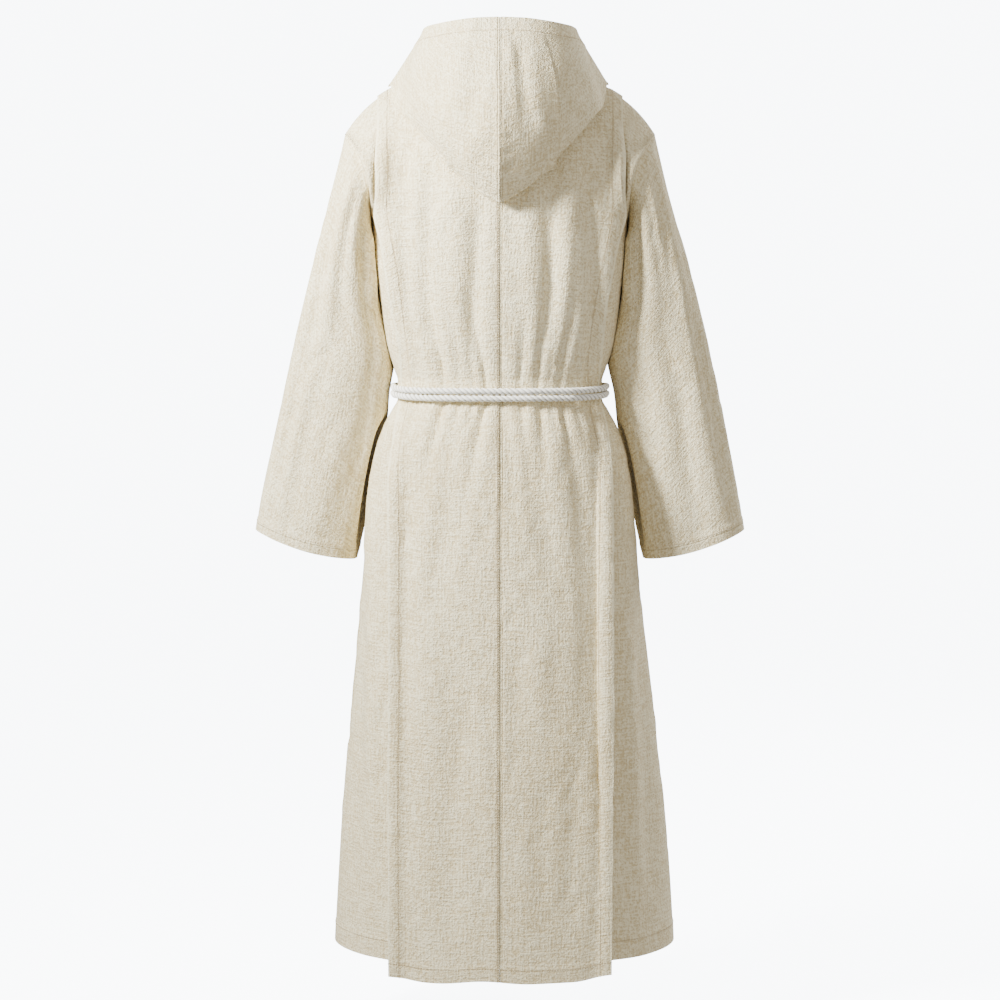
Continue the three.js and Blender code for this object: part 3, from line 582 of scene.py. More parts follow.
def ground(side):
    level = LEVELS[:, None]
    edge = scapular_half(height_of(level)) / edge_half(level)
    q = q_of(SHARES * edge, square_at(level))
    out = np.arange(1, SIDE_COLUMNS + 1) / SIDE_COLUMNS
    q = np.concatenate([q, mix(q[:, -1:], 1, out[None, :])], 1)
    q = np.concatenate([-q[:, :0:-1], q], 1)
    level = np.broadcast_to(level, q.shape)
    plain = plain_body(side, q, level)
    face = plain - outward(side, q, level) * pressed(side, plain[..., 0], plain[..., 2])[..., None]
    normal = face_normals(face, side)
    flatten = on_seam(q, level)
    normal[..., 1] = np.where(flatten, 0, normal[..., 1])
    face[..., 1] = np.where(flatten, side * SEAM_GAP / 2, face[..., 1])
    normal = unit(normal)
    return {"face": face, "normal": normal, "q": q, "level": level}


GROUND = {side: ground(side) for side in (1, -1)}
print("ground rows", len(LEVELS), "columns", GROUND[1]["face"].shape[1])


# %% [markdown]
# ## The tunic
# Two panels, back and front, meet at the side seams and the shoulders. A hand's breadth beside the
# scapular the hem hangs a little lower than at the side seam, as it does on a worn tunic.
# %% Tunic panels
HEM_DIP, DIP_RISE, DIP_HALF = 7, 260, 272
SIDE_DRAW, DRAWN_FROM, DRAWN_OVER = 7, 150, 60
DRAWN_TOP, DRAWN_DROP = -640, 750


def hem_dip(face):
    # A hem that hangs lower towards the middle: all of it at the hem, none a forearm higher.
    share = np.clip(np.abs(face[..., 0]) / DIP_HALF, 0, 1)
    fade = smooth((HEM_Z + DIP_RISE - face[..., 2]) / DIP_RISE)
    return -HEM_DIP * fade * (1 - share**6)


def side_draw(face):
    # The lower skirt is drawn a little to the wearer's right, as it hangs in the photograph.
    beside = smooth((np.abs(face[..., 0]) - DRAWN_FROM) / DRAWN_OVER)
    return -SIDE_DRAW * beside * smooth((DRAWN_TOP - face[..., 2]) / DRAWN_DROP)


TUNIC_FACE = {}
PANELS = {}
for side, name in ((1, "tunic_back"), (-1, "tunic_front")):
    base = GROUND[side]
    face = base["face"][TUNIC_FROM:].copy()
    normal = base["normal"][TUNIC_FROM:]
    level = base["level"][TUNIC_FROM:]
    above = (level + 1) * (ARMPIT_Z - HEM_Z)
    face[..., 2] += hem_dip(face)
    face[..., 0] += side_draw(face)
    outer = face + normal * hem_raise(above, TUNIC_HEM)[..., None]
    TUNIC_FACE[side] = outer
    PANELS[name] = cloth(name, outer, face - normal * CLOTH, {"from_stitch": above - STITCH["tunic"]})


# %% [markdown]
# ## The scapular
# It lies on the tunic, close under the belt and freer lower down, where it swings out in soft waves
# and its edges stand off enough to throw a shadow. The lower corners are turned up a little.
# %% Scapular panels
BACK_BILLOW = table(
    CREASE,
    (-150, -700, -120, -1428, 4.0, 30, 10),
    (-62, -860, -38, -1428, 6.0, 30, -6),
    (36, -940, 8, -1428, 4.0, 22, 4),
    (112, -760, 92, -1428, 6.0, 30, -8),
    (158, -600, 160, -1428, 3.5, 14, 0),
    (-162, -600, -160, -1428, 3.0, 14, 0),
)
FRONT_BILLOW = table(
    CREASE,
    (120, -760, 96, -1428, 5.0, 30, 8),
    (20, -900, 40, -1428, 5.0, 26, -6),
    (-90, -820, -70, -1428, 6.0, 30, 8),
    (158, -600, 160, -1428, 3.0, 14, 0),
    (-162, -600, -160, -1428, 3.5, 14, 0),
)


EDGE_LIFT, EDGE_FROM, EDGE_WIDE = 11.0, 0.84, 0.16
EDGE_WAY = [0.25, 1, 1]  # an edge stands off backwards or forwards more than sideways
HELD_BY_ROPE, HELD_FADE, HELD_BY_HOOD, HOOD_FADE = 40, 120, 70, 80
CORNER_RAISE, CORNER_FROM, CORNER_WIDE, CORNER_HIGH = 5, 0.66, 0.34, 170
HEM_RISE, HEM_RISE_HIGH, WAVY_HIGH = 6, 260, 60
SEAM_DITCH = 1.1
SEAM_CLOSED = 0.01  # between the two inner faces at the middle, so that no light comes through


def scapular_walls(side):
    base = GROUND[side]
    keep = slice(SIDE_COLUMNS, SIDE_COLUMNS + 2 * INNER - 1)
    under, normal, level = (base[key][:, keep] for key in ("face", "normal", "level"))
    z = height_of(level)
    share = np.concatenate([-SHARES[:, :0:-1], SHARES], 1)
    x = share * scapular_half(z)
    free = smooth((np.abs(z - BELT_Z) - HELD_BY_ROPE) / HELD_FADE)
    free = free * smooth((-HELD_BY_HOOD - z) / HOOD_FADE)
    billow = creases(x, z, BACK_BILLOW if side > 0 else FRONT_BILLOW)
    edge = EDGE_LIFT * smooth((np.abs(share) - EDGE_FROM) / EDGE_WIDE)
    lift = scapular_lift(z) + free * np.maximum(0, billow)
    inner = under + normal * lift[..., None] + unit(normal * EDGE_WAY) * (free * edge)[..., None]
    inner[..., 2] += hem_dip(under)
    corner = smooth((np.abs(share) - CORNER_FROM) / CORNER_WIDE)
    corner = corner * smooth((SCAPULAR_HEM_Z + CORNER_HIGH - z) / CORNER_HIGH)
    wavy = 2.0 * np.sin(x / 31 + 0.8) + 0.8 * np.sin(x / 17)
    ends = smooth((SCAPULAR_HEM_Z + WAVY_HIGH - z) / WAVY_HIGH)
    risen = HEM_RISE * smooth((SCAPULAR_HEM_Z + HEM_RISE_HIGH - z) / HEM_RISE_HIGH)
    inner[..., 2] += CORNER_RAISE * corner + risen + wavy * ends
    from_hem = z - SCAPULAR_HEM_Z
    from_side = (1 - np.abs(share)) * scapular_half(z)
    hems = np.maximum(hem_raise(from_hem, SCAPULAR_HEM), hem_raise(from_side, SIDE_HEM))
    outer = inner + normal * (CLOTH + hems)[..., None]
    return {
        "outer": outer,
        "inner": inner,
        "sunk": np.minimum(SEAM_DITCH, 0.5 * lift)[..., None] * normal,
        "share": share,
        "from_stitch": from_hem - STITCH["scapular"],
        "from_side": from_side,
        "from_middle": np.abs(x),
    }


def scapular_parts(side, halves):
    # Each half, or the whole front, is cut from the wall and sunk a little along the middle seam.
    wall = scapular_walls(side)
    middle = INNER - 1
    whole, left, right = slice(None), slice(middle, None), slice(0, middle + 1)
    for half, name in halves:
        cut = {0: whole, 1: left, -1: right}[half]
        out, into = wall["outer"][:, cut].copy(), wall["inner"][:, cut].copy()
        marks = {mark: wall[mark][:, cut] for mark in ("from_stitch", "from_side")}
        if half:
            seam = 0 if half > 0 else -1
            out[:, seam] -= wall["sunk"][:, middle]
            into[:, seam] -= wall["sunk"][:, middle]
            out[:, seam, 0] = half * SEAM_GAP / 2
            into[:, seam, 0] = half * SEAM_CLOSED
            marks["from_middle"] = wall["from_middle"][:, cut]
        top = np.abs(wall["share"][-1, cut]) > NECK_SHARE - 0.001
        out[-1, top, 1] = into[-1, top, 1] = side * SEAM_GAP / 2
        PANELS[name] = cloth(name, out, into, marks)
        SCAPULAR_FACE[name] = out


SCAPULAR_FACE = {}
scapular_parts(1, ((1, "scapular_back_left"), (-1, "scapular_back_right")))
scapular_parts(-1, ((0, "scapular_front"),))


# %% [markdown]
# ## The sleeves
# A sleeve is a tube whose first ring lies along the armhole. Its folds are placed on the cut cloth:
# x is the way round in millimetres, from 0 at the outer edge to 225 at the inner edge by way of the
# back and to -225 by way of the front, and z is the way down from the armhole. A tube can also be
# simulated as hanging cloth, but rows for each fold put them where the photograph has them.
# %% Sizes of a sleeve
SLEEVE = table(
    "outer_x outer_z inner_x inner_z depth forward",
    (246, -107, 203, -245, 75, 0),
    (257, -158, 203, -262, 77, 2),
    (273, -223, 200.5, -288, 77, 6),
    (291, -288, 196, -334, 76, 10),
    (309, -356, 186, -394, 74, 14),
    (326, -426, 171, -456, 72, 18),
    (342, -498, 184, -522, 71, 21),
    (357, -566, 191, -588, 70, 24),
    (372, -632, 203, -656, 70, 26),
    (384, -688, 216, -724, 70, 27),
    (392, -737, 231, -784, 70, 28),
)
CUFF_HEM, CUFF_BOW, SLEEVE_CLEAR = 25.0, 9.0, 1.4
for i, row in enumerate(SLEEVE):
    row["t"] = i / (len(SLEEVE) - 1)
sleeve_at = {name: column(SLEEVE, "t", name) for name in SLEEVE[0] if name != "t"}
LEFT_FOLDS = table(
    CREASE,
    (70, -20, 66, -420, 6.0, 15, 6),
    (22, -60, 30, -600, -3.5, 14, -8),
    (118, -40, 112, -330, 6.0, 15, 10),
    (150, -120, 160, -560, 5.0, 14, -8),
    (96, -300, 84, -640, 5.5, 15, 8),
    (46, -340, 52, -650, 4.0, 11, -5),
    (128, -430, 120, -650, -4.0, 15, 0),
    (184, -60, 176, -300, 4.0, 12, 0),
    (-30, -80, -26, -560, 5.0, 16, 6),
    (-80, -60, -90, -420, 5.5, 15, -6),
    (-128, -160, -116, -600, 5.5, 15, 8),
    (-60, -380, -70, -640, 4.5, 13, 6),
    (-170, -80, -164, -500, 4.5, 13, 0),
    (92, -330, 60, -372, 2.6, 8, 3),
    (60, -420, 22, -450, 2.6, 8, -3),
)
RIGHT_FOLDS = table(
    CREASE,
    (66, -30, 74, -360, 6.5, 15, -8),
    (112, -60, 104, -520, 6.5, 16, 10),
    (20, -140, 18, -560, -4.5, 12, 6),
    (44, -280, 50, -600, 5.5, 12, 6),
    (150, -80, 142, -420, 5.5, 15, -6),
    (86, -380, 98, -650, 5.0, 14, -8),
    (132, -460, 138, -650, -4.0, 15, 0),
    (180, -100, 176, -420, 4.5, 12, 0),
    (16, -360, 44, -404, 3.4, 8, 3),
    (14, -410, 42, -442, 3.0, 8, -3),
    (20, -452, 52, -470, 2.6, 7, 2),
    (96, -372, 70, -398, 2.6, 8, 3),
    (-34, -60, -30, -520, 5.0, 16, -6),
    (-76, -100, -84, -460, 5.5, 15, 8),
    (-122, -60, -112, -600, 5.5, 15, -6),
    (-168, -120, -160, -540, 4.5, 13, 0),
)
LEFT_FOLDS += scattered(21, 90, (-200, 200, -600, -40), 55, 1.3, 7, 0.2)
RIGHT_FOLDS += scattered(22, 90, (-200, 200, -600, -40), 55, 1.3, 7, -0.2)


# %% [markdown]
# The tube starts on the edge that the two panels leave at the armhole. Beyond it the sleeve hangs
# away at the top and turns back down beside the body at the armpit, so its wall has to turn round the
# edge of the tunic's wall without cutting into it.
# %% The edge of the armhole
SLEEVE_TURNS = 2 * TOP_ROWS


def armhole(hand, turn):
    # The edge of the tunic's two panels, as a ring from the shoulder down behind and up in front.
    points = np.zeros((len(turn), 3))
    normals = np.zeros((len(turn), 3))
    onward = np.zeros((len(turn), 3))
    for side in (1, -1):
        base = GROUND[side]
        column_at, before = (-1, -3) if hand > 0 else (0, 2)
        step = base["face"][:, column_at] - base["face"][:, before]
        level = base["level"][:, column_at]
        high = level >= 0
        want = (1 + np.cos(2 * np.pi * turn)) / 2
        pick = (turn <= 0.5) if side > 0 else (turn > 0.5)
        for k in range(3):
            points[pick, k] = np.interp(want[pick], level[high], base["face"][high, column_at, k])
            normals[pick, k] = np.interp(want[pick], level[high], base["normal"][high, column_at, k])
            onward[pick, k] = np.interp(want[pick], level[high], step[high, k])
    for rows in (points, normals, onward):
        rows[:, 0] *= hand
    normals = unit(normals)
    along = np.roll(points, -1, 0) - np.roll(points, 1, 0)
    out = unit(np.cross(along, normals))
    out *= np.sign(np.sum(out * onward, -1, keepdims=True))
    return points, normals, out


# %% The hanging tube
CUT_ROUND, CUT_LONG = 450.0, 640.0
SLEEVE_STEP = 1 / 105
HIP_CLEAR, HIP_TOP, HIP_FADE = 7, 520, 60
CORNER_TOP, CORNER_CUFF, CORNER_BY = 0.9, 0.68, 0.4  # powers: how square the tube is, top and cuff
HIDDEN_WAY, HIDDEN_FADE = 152, 36  # the part beside the body, in millimetres round the sleeve
LEAN_LOW, LEAN_FADE, LEAN_START = 0.42, 0.12, 34
TUCK_AT, TUCK_REACH = 0.68, 0.17  # where along its length the sleeve is drawn in towards the body
FOLDS_START = 0.08


def body_half(y, z):
    # How far out the tunic reaches beside the sleeve, with some room at the hip.
    deep = np.where(y > 0, back_depth(z), front_depth(z))
    square = squareness(z)
    reach = half_width(z) * np.maximum(0, 1 - (np.abs(y) / deep) ** square) ** (1 / square)
    return np.where(z > ARMPIT_Z, 0, reach + HIP_CLEAR * smooth((-HIP_TOP - z) / HIP_FADE))


def sleeve_plain(turn, t):
    angle = 2 * np.pi * turn
    share = (1 + np.cos(angle)) / 2
    along = np.sin(angle)
    x = mix(sleeve_at["inner_x"](t), sleeve_at["outer_x"](t), share)
    corner = mix(CORNER_TOP, CORNER_CUFF, smooth(t / CORNER_BY))
    y = sleeve_at["depth"](t) * np.sign(along) * np.abs(along) ** corner - sleeve_at["forward"](t)
    z = mix(sleeve_at["inner_z"](t), sleeve_at["outer_z"](t), share) - CUFF_BOW * along**2 * t**4
    return np.stack([x, y, z], -1)


def ring_normals(face):
    wide = np.concatenate([face[:, -2:], face, face[:, :2]], 1)
    along = np.gradient(wide, axis=1)[:, 2:-2]
    return unit(np.cross(np.gradient(face, axis=0), along))


def hung_tube(turn, t, folds, tuck):
    # The folded tube, kept outside the body, and lying against it where it isn't seen.
    plain = sleeve_plain(turn, t)
    plain[..., 0] -= tuck * (1 - np.cos(2 * np.pi * turn)) / 2 * bell((t - TUCK_AT) / TUCK_REACH)
    way = np.where(turn <= 0.5, turn, turn - 1) * CUT_ROUND
    press = creases(way, -t * CUT_LONG, folds) * smooth(t / FOLDS_START)
    hidden = smooth((np.abs(way) - HIDDEN_WAY) / HIDDEN_FADE)
    press = press * (1 - hidden)
    plain = plain - ring_normals(plain) * press[..., None]
    touch = body_half(plain[..., 1], plain[..., 2]) + SLEEVE_CLEAR
    plain[..., 0] = np.maximum(plain[..., 0], touch)
    below = smooth((ARMPIT_Z - 1 - plain[..., 2]) / LEAN_START)
    lean = hidden * smooth((LEAN_LOW - t) / LEAN_FADE) * below
    plain[..., 0] = mix(plain[..., 0], np.minimum(plain[..., 0], touch + 0.6), lean)
    return plain


# %% Setting the sleeve in
JOIN_BY = 0.16  # the share of the length over which the tube leaves the armhole
NEAR_LOW, NEAR_FADE = 0.1, 0.04
TURN_BY = 0.1
STEADY_ROW = 8  # the first row that lies far enough from the edge to tell which way the cloth goes
BACK_FROM, FULL_CIRCLE_AT = 1.0, -2.1
ON_RATE, OFF_RATE = 55, 10


def set_in(plain, hand, turn, t):
    # The tube joined to the armhole. It leaves the edge straight on where it bends little, and
    # outside the tunic's wall where it turns back; its own wall turns with it.
    start, start_normal, onward = armhole(hand, turn)
    join = smooth(t / JOIN_BY)[..., None]
    face = mix(start[None], plain, join)
    ring = ring_normals(face)
    bend = np.arctan2(-np.sum(ring * onward, -1), np.sum(ring * start_normal, -1))
    bend = np.where(bend < FULL_CIRCLE_AT, bend + 2 * np.pi, bend)[STEADY_ROW]
    back = smooth((bend - BACK_FROM) / BACK_FROM)
    offset = face - start
    ahead, above = np.sum(offset * onward, -1), np.sum(offset * start_normal, -1)
    near = smooth((NEAR_LOW - t) / NEAR_FADE)
    push_on = np.maximum(0, SEAM_GAP + ON_RATE * t - ahead) * (1 - back) * near
    push_off = np.maximum(0, 2 * SEAM_GAP + OFF_RATE * t - above) * back * near
    push_on[0] = SEAM_GAP
    face = face + onward * push_on[..., None] + start_normal * push_off[..., None]
    turned = smooth(t / TURN_BY)
    angle = bend * turned
    fresh = start_normal * np.cos(angle)[..., None] - onward * np.sin(angle)[..., None]
    return face, unit(mix(fresh, ring_normals(face), turned[..., None]))


SLEEVE_FACE = {}


def sleeve(name, hand, folds, tuck):
    turn = np.arange(SLEEVE_TURNS) / SLEEVE_TURNS
    hem = [CUFF_HEM + HEM_STEP, CUFF_HEM, STITCH["cuff"]]
    t = spaced([0, *(1 - low / CUT_LONG for low in hem), 1], SLEEVE_STEP)
    turn_grid, t_grid = np.meshgrid(turn, t)
    plain = hung_tube(turn_grid, t_grid, folds, tuck)
    face, normal = set_in(plain, hand, turn, t_grid)
    from_hem = (1 - t_grid) * CUT_LONG
    outer = face + normal * hem_raise(from_hem, CUFF_HEM)[..., None]
    inner = face - normal * CLOTH
    flip = np.array([hand, 1, 1])
    SLEEVE_FACE[name] = outer * flip
    # The mark from the middle seam holds half the distance from the armhole seam, so the painted seam
    # shadow along the armhole is twice as wide.
    marks = {"from_stitch": from_hem - STITCH["cuff"], "from_middle": 0.5 * t_grid * CUT_LONG + 0.2}
    PANELS[name] = cloth(name, outer * flip, inner * flip, marks, around=True)


sleeve("sleeve_left", 1, LEFT_FOLDS, 8.0)
sleeve("sleeve_right", -1, RIGHT_FOLDS, 1.0)

# %% [markdown]
# ## The hood
# Dropped on the back, the hood is a pocket: from the neck seam an under layer lies on the scapular,
# turns at the lower edge and comes back up to the face opening. Stations go from the middle of the
# back round to the throat, and at each one a path of points runs through the layers in turn.
# %% Sizes of the hood
HOOD = table(
    "side neck fold_x fold_z apart rim_x rim_y rim_z bulge",
    (1, 0, 0, -222, 9, 0, 118, 66, 62),
    (1, 0.1, 38, -200, 9, 36, 115, 65, 56),
    (1, 0.2, 76, -165, 9, 70, 103, 62, 44),
    (1, 0.3, 112, -126, 8, 97, 82, 59, 28),
    (1, 0.38, 141, -92, 7, 114, 56, 57, 12),
    (1, 0.41, 157, -70, 6, 121, 30, 54, 3),
    (1, 0.4249, 167, -20, 5, 122, 5, 49, 0),
    (-1, 0.41, 159, -60, 6, 120, -16, 38, 0),
    (-1, 0.38, 145, -80, 7, 112, -40, 22, 4),
    (-1, 0.3, 118, -102, 8, 96, -64, 2, 8),
    (-1, 0.2, 84, -120, 9, 74, -86, -24, 12),
    (-1, 0.1, 46, -134, 9, 44, -106, -54, 10),
    (-1, 0.03, 10, -141, 9, 9, -118, -84, 4),
)
HOOD_UNDER = table("share lift", (0, 0.3), (0.06, 3), (0.18, 7), (0.4, 9), (0.7, 8), (1, 5.5))
HOOD_CORNER, HOOD_RIM_HEM = 2.0, 25.0
SHOULDER_STATION = 6
for i, row in enumerate(HOOD):
    row["i"] = i
hood_at = {name: column(HOOD, "i", name) for name in HOOD[0] if name not in ("i", "side")}
under_lift = column(HOOD_UNDER, "share", "lift")

LEFT_HOOD_FOLDS = table(
    CREASE,
    (9, -30, 8, -190, 1.6, 5, 0),
    (40, 20, 60, -120, 3.0, 18, 10),
    (88, 10, 104, -84, 3.0, 16, 6),
    (30, -110, 58, -168, -2.0, 14, 4),
    (110, -40, 70, -140, 2.4, 14, -6),
    (24, -96, 4, -100, 1.6, 4, 1),
    (26, -112, 4, -118, 1.8, 4, -1),
    (22, -136, 3, -140, 1.5, 4, 1),
    (28, -152, 3, -160, 1.9, 5, -1),
    (24, -172, 2, -180, 1.5, 4, 0),
    (20, -70, 3, -72, 1.2, 4, 0),
)
RIGHT_HOOD_FOLDS = table(
    CREASE,
    (-12, 30, -26, -96, -3.0, 10, 4),
    (-34, 20, -46, -120, 4.0, 13, -8),
    (-70, 20, -92, -90, 1.6, 18, -6),
    (-112, -10, -96, -92, 1.2, 15, -4),
    (-62, -96, -96, -140, -2.0, 13, 0),
    (-24, -120, -3, -126, 1.7, 4, 1),
    (-22, -146, -3, -150, 1.4, 4, -1),
    (-26, -166, -2, -172, 1.7, 5, 0),
)
LEFT_HOOD_FOLDS += scattered(31, 40, (10, 150, -190, 50), 45, 0.7, 7, 0.3)
RIGHT_HOOD_FOLDS += scattered(32, 40, (-150, -10, -190, 50), 45, 0.6, 7, -0.3)


# %% Hood halves
def laid(side, q, level, lift, follow=1.0):
    plain = plain_body(side, q, level)
    press = pressed(side, plain[..., 0], plain[..., 2])
    off = lift - np.where(press > 0, follow, 1.0) * press
    return plain + outward(side, q, level) * off[..., None]


SEARCH_ROUNDS = 14


def place_of(side, x, z):
    # The q and level whose plain place has this x and z, found by going round a few times.
    level = np.full(np.shape(x), 0.5)
    for _ in range(SEARCH_ROUNDS):
        share = np.clip(x / armhole_half(level), -1, 1)
        level = np.clip((z - ARMPIT_Z) / (top_z(side, SHOULDER_HALF * share) - ARMPIT_Z), 0, 1)
    return q_of(share, CHEST_SQUARE), level


# %% The two layers of the hood
HOOD_MIDDLE_STAND, MIDDLE_STATIONS = 7.0, 1.6
CORNER_STATIONS, CORNER_FLATTER, CORNER_CLOSER = 0.9, 0.4, 2.6
CORNER_NECK, CORNER_NECK_FADE = 0.28, 0.12
UNDER_STEPS, OUTER_STEPS, EDGE_STEPS = 20, 56, 9
EDGE_DROP = 3.5
SWELL_HIGH = 0.85
FAR = 1000.0  # a distance, in millimetres, that marks a point as nowhere near a line


def hood_under(side, stations, at, near_corner, stand_off):
    # From the neck seam down over the scapular, the last column being the hood's lower edge.
    neck_q = q_of(at["neck"] * SCAPULAR_TOP / SHOULDER_HALF, CHEST_SQUARE)
    top = np.ones_like(neck_q)
    cloth_off = scapular_lift(TOP_Z) + CLOTH
    start = laid(side, neck_q, top, cloth_off + np.zeros_like(neck_q))
    corner = HOOD_CORNER * smooth((at["neck"] - CORNER_NECK) / CORNER_NECK_FADE)
    x_way, y_way = 0.27 * start[..., 0] / NECK_HALF, 0.8 * start[..., 1] / NAPE_Y
    off = np.stack([x_way, y_way, np.ones_like(corner)], -1)
    first = start + unit(off) * (SEAM_GAP + corner)[..., None]
    share = np.concatenate([[0.02, 0.06], np.linspace(0.1, 1, UNDER_STEPS)])[None, :]
    x, z = mix(start[..., 0], at["fold_x"], share), mix(start[..., 2], at["fold_z"], share)
    q, level = place_of(side, x, z)
    back = np.maximum(side, 0) * smooth((SHOULDER_STATION - 0.7 - stations) / 1.5)[:, None]
    lift = scapular_lift(height_of(level)) + CLOTH + corner * (1 - share)
    lift = lift + under_lift(share) * (1 - CORNER_FLATTER * near_corner)
    stand = mix(HOOD_MIDDLE_STAND, stand_off, smooth(stations / MIDDLE_STATIONS))[:, None]
    lift = lift + stand * back * smooth((share - 0.3) / 0.7)
    under = laid(side, q, level, lift, 1 - 0.8 * smooth((share - 0.4) / 0.4))
    return first, under, outward(side, q, level)[:, -1:]


def hood_outer(stations, at, turned, flatter):
    # From the lower edge, swelling out, up to the rim of the face opening.
    rim = np.stack([at["rim_x"], at["rim_y"], at["rim_z"]], -1)
    way = (turned + rim) * np.array([1, 1, 0])
    long = np.linalg.norm(rim - turned, axis=-1)
    marks = [HOOD_RIM_HEM + HEM_STEP, HOOD_RIM_HEM, STITCH["rim"], 0]
    shares = [np.linspace(0, 1, OUTER_STEPS)[None, :-1] * (1 - marks[0] / long)]
    shares += [1 - (a + (b - a) * s) / long for a, b in zip(marks, marks[1:]) for s in (0, 0.5)]
    shares.append(np.ones_like(long))
    share = np.concatenate(shares, 1)
    round_back = np.sin(np.pi * np.minimum(stations / SHOULDER_STATION, 1))[:, None]
    level_out = 1 - flatter * round_back
    swell = at["bulge"] * level_out * np.sin(np.pi * share**SWELL_HIGH)
    face = mix(turned, rim, share[..., None]) + unit(way) * swell[..., None]
    return face, (1 - share) * long


def hood_side(side, stations, stand_off, corner_out, flatter):
    # The path of points at each station, seam to lower edge to rim, for one side of the shoulder.
    at = {name: curve(stations)[:, None] for name, curve in hood_at.items()}
    near_corner = bell((stations - SHOULDER_STATION) / CORNER_STATIONS)[:, None]
    at["fold_x"] = at["fold_x"] + corner_out * near_corner
    at["apart"] = at["apart"] - CORNER_CLOSER * near_corner
    first, under, normal = hood_under(side, stations, at, near_corner, stand_off)
    low = under[:, -1:]
    turned = low + normal * at["apart"][..., None]
    bend = np.linspace(0, np.pi, EDGE_STEPS)[1:-1]
    drop = np.array([0, 0, -EDGE_DROP]) - normal * np.minimum(0, -EDGE_DROP * normal[..., 2:])
    drop = drop * np.sin(bend)[None, :, None]
    edge = low + (turned - low) * ((1 - np.cos(bend)) / 2)[None, :, None] + drop
    face, rim_distance = hood_outer(stations, at, turned, flatter)
    path = np.concatenate([first, under, edge, face], 1)
    from_rim = np.full(path.shape[:2], FAR)
    from_rim[:, -face.shape[1] :] = rim_distance
    return path, from_rim, face.shape[1]


# %% Hood halves
HOOD_FACE = {}
HOOD_DITCH = 1.0
HOOD_MIDDLE = []  # the line of the middle seam, outer and inner, which both halves share
LAST_STATION = 12
BACK_STATIONS = np.linspace(0, SHOULDER_STATION, 72)
FRONT_STATIONS = np.linspace(SHOULDER_STATION, LAST_STATION, 56)[1:]
FOLD_BACK, FOLD_ROWS, FOLD_RIM, FOLD_SEAM = 30, 10, 40, 14


def fold_fade(seen, from_rim):
    # Folds show on the outer layer behind, and fade towards the edges, the rim and the middle seam.
    fade = smooth(seen[..., 1] / FOLD_BACK) * smooth(np.arange(seen.shape[1]) / FOLD_ROWS)[None, :]
    return fade * smooth((from_rim + 20) / FOLD_RIM) * smooth((np.abs(seen[..., 0]) + 4) / FOLD_SEAM)


def inward_of(path):
    return unit(np.cross(np.gradient(path, axis=0), np.gradient(path, axis=1)))


def hood(name, hand, folds, stand_off, corner_out, flatter):
    back, back_rim, outer_rows = hood_side(1, BACK_STATIONS, stand_off, corner_out, flatter)
    front, front_rim, _ = hood_side(-1, FRONT_STATIONS, 0, corner_out, flatter)
    path, from_rim = np.concatenate([back, front]), np.concatenate([back_rim, front_rim])
    into = inward_of(path)
    seen, seen_rim = path[:, -outer_rows:], from_rim[:, -outer_rows:]
    press = creases(hand * seen[..., 0], seen[..., 2], folds) * fold_fade(seen, seen_rim)
    press = press - hem_raise(seen_rim, HOOD_RIM_HEM)
    path[:, -outer_rows:] += into[:, -outer_rows:] * press[..., None]
    into = inward_of(path)
    into[0, :, 0] = 0
    into = unit(into)
    inner = path + into * CLOTH
    for face, open_by in ((path, SEAM_GAP / 2), (inner, SEAM_CLOSED)):
        face[0] += into[0] * HOOD_DITCH
        face[0, :, 0] = open_by
    if HOOD_MIDDLE:
        path[0], inner[0] = HOOD_MIDDLE
    HOOD_MIDDLE[:] = [path[0].copy(), inner[0].copy()]
    flip = np.array([hand, 1, 1])
    # The middle seam behind gets the painted seam shadow; points in front are marked as far from it.
    from_middle = path[..., 0] + FAR * (path[..., 1] < 0)
    HOOD_FACE[name] = path * flip
    marks = {"from_stitch": from_rim - STITCH["rim"], "from_middle": from_middle}
    PANELS[name] = cloth(name, path * flip, inner * flip, marks)


hood("hood_left", 1, LEFT_HOOD_FOLDS, 2.0, 6.0, 0.0)
hood("hood_right", -1, RIGHT_HOOD_FOLDS, 14.0, 1.0, 0.45)


# %% [markdown]
# ## The rope belt
# The rope goes round the waist twice, taut over the crests of the cloth, as a line round the hull of
# everything under it. Three strands are laid up into it: its section has three lobes that turn once
# in a lay length. A curve with a bevel would be quicker, but its section couldn't turn like that.
# %% The line of the belt
ROPE_RADIUS, ROPE_SEAT, ROPE_APART, ROPE_LAY = 5.2, 1.6, 11.2, 27.0
ROPE_SAG, SAG_BY = 6.5, 112
BELT_DIRECTIONS, BELT_ROUNDINGS, KNOT_OVERLAP = 720, 12, 6
KNOT_X = 10.0
KNOT_HALF = np.array([23.0, 14.0, 21.0])


def belt_height(y):
    # The rope sags a little over the back.
    return BELT_Z - ROPE_SAG * smooth(y / SAG_BY)


def run_along(line):
    # How far along a line each of its points lies.
    return np.concatenate([[0], np.cumsum(np.linalg.norm(np.diff(line, axis=0), axis=1))])


def belt_line(out, step):
    faces = [*TUNIC_FACE.values(), *SCAPULAR_FACE.values()]
    near = [np.abs(f[..., 2] - belt_height(f[..., 1])) < BELT_BAND + 1 for f in faces]
    under = np.concatenate([f[n][:, :2] for f, n in zip(faces, near)])
    angle = np.linspace(0, 2 * np.pi, BELT_DIRECTIONS + 1)[:-1] - np.pi / 2
    way = np.stack([np.cos(angle), np.sin(angle)], -1)
    ring = under[np.argmax(way @ under.T, axis=1)] + way * out
    after = np.roll(ring, -1, axis=0)
    start = int(np.argmax((ring[:, 0] <= KNOT_X) & (KNOT_X < after[:, 0]) & (ring[:, 1] < 0)))
    line = np.roll(ring, -start - 1, axis=0)
    run = run_along(line)
    at = np.linspace(KNOT_OVERLAP, run[-1] - KNOT_OVERLAP, int(run[-1] / step))
    line = np.stack([np.interp(at, run, line[:, k]) for k in (0, 1)], -1)
    for _ in range(BELT_ROUNDINGS):
        line[1:-1] = (line[:-2] + 2 * line[1:-1] + line[2:]) / 4
    return line


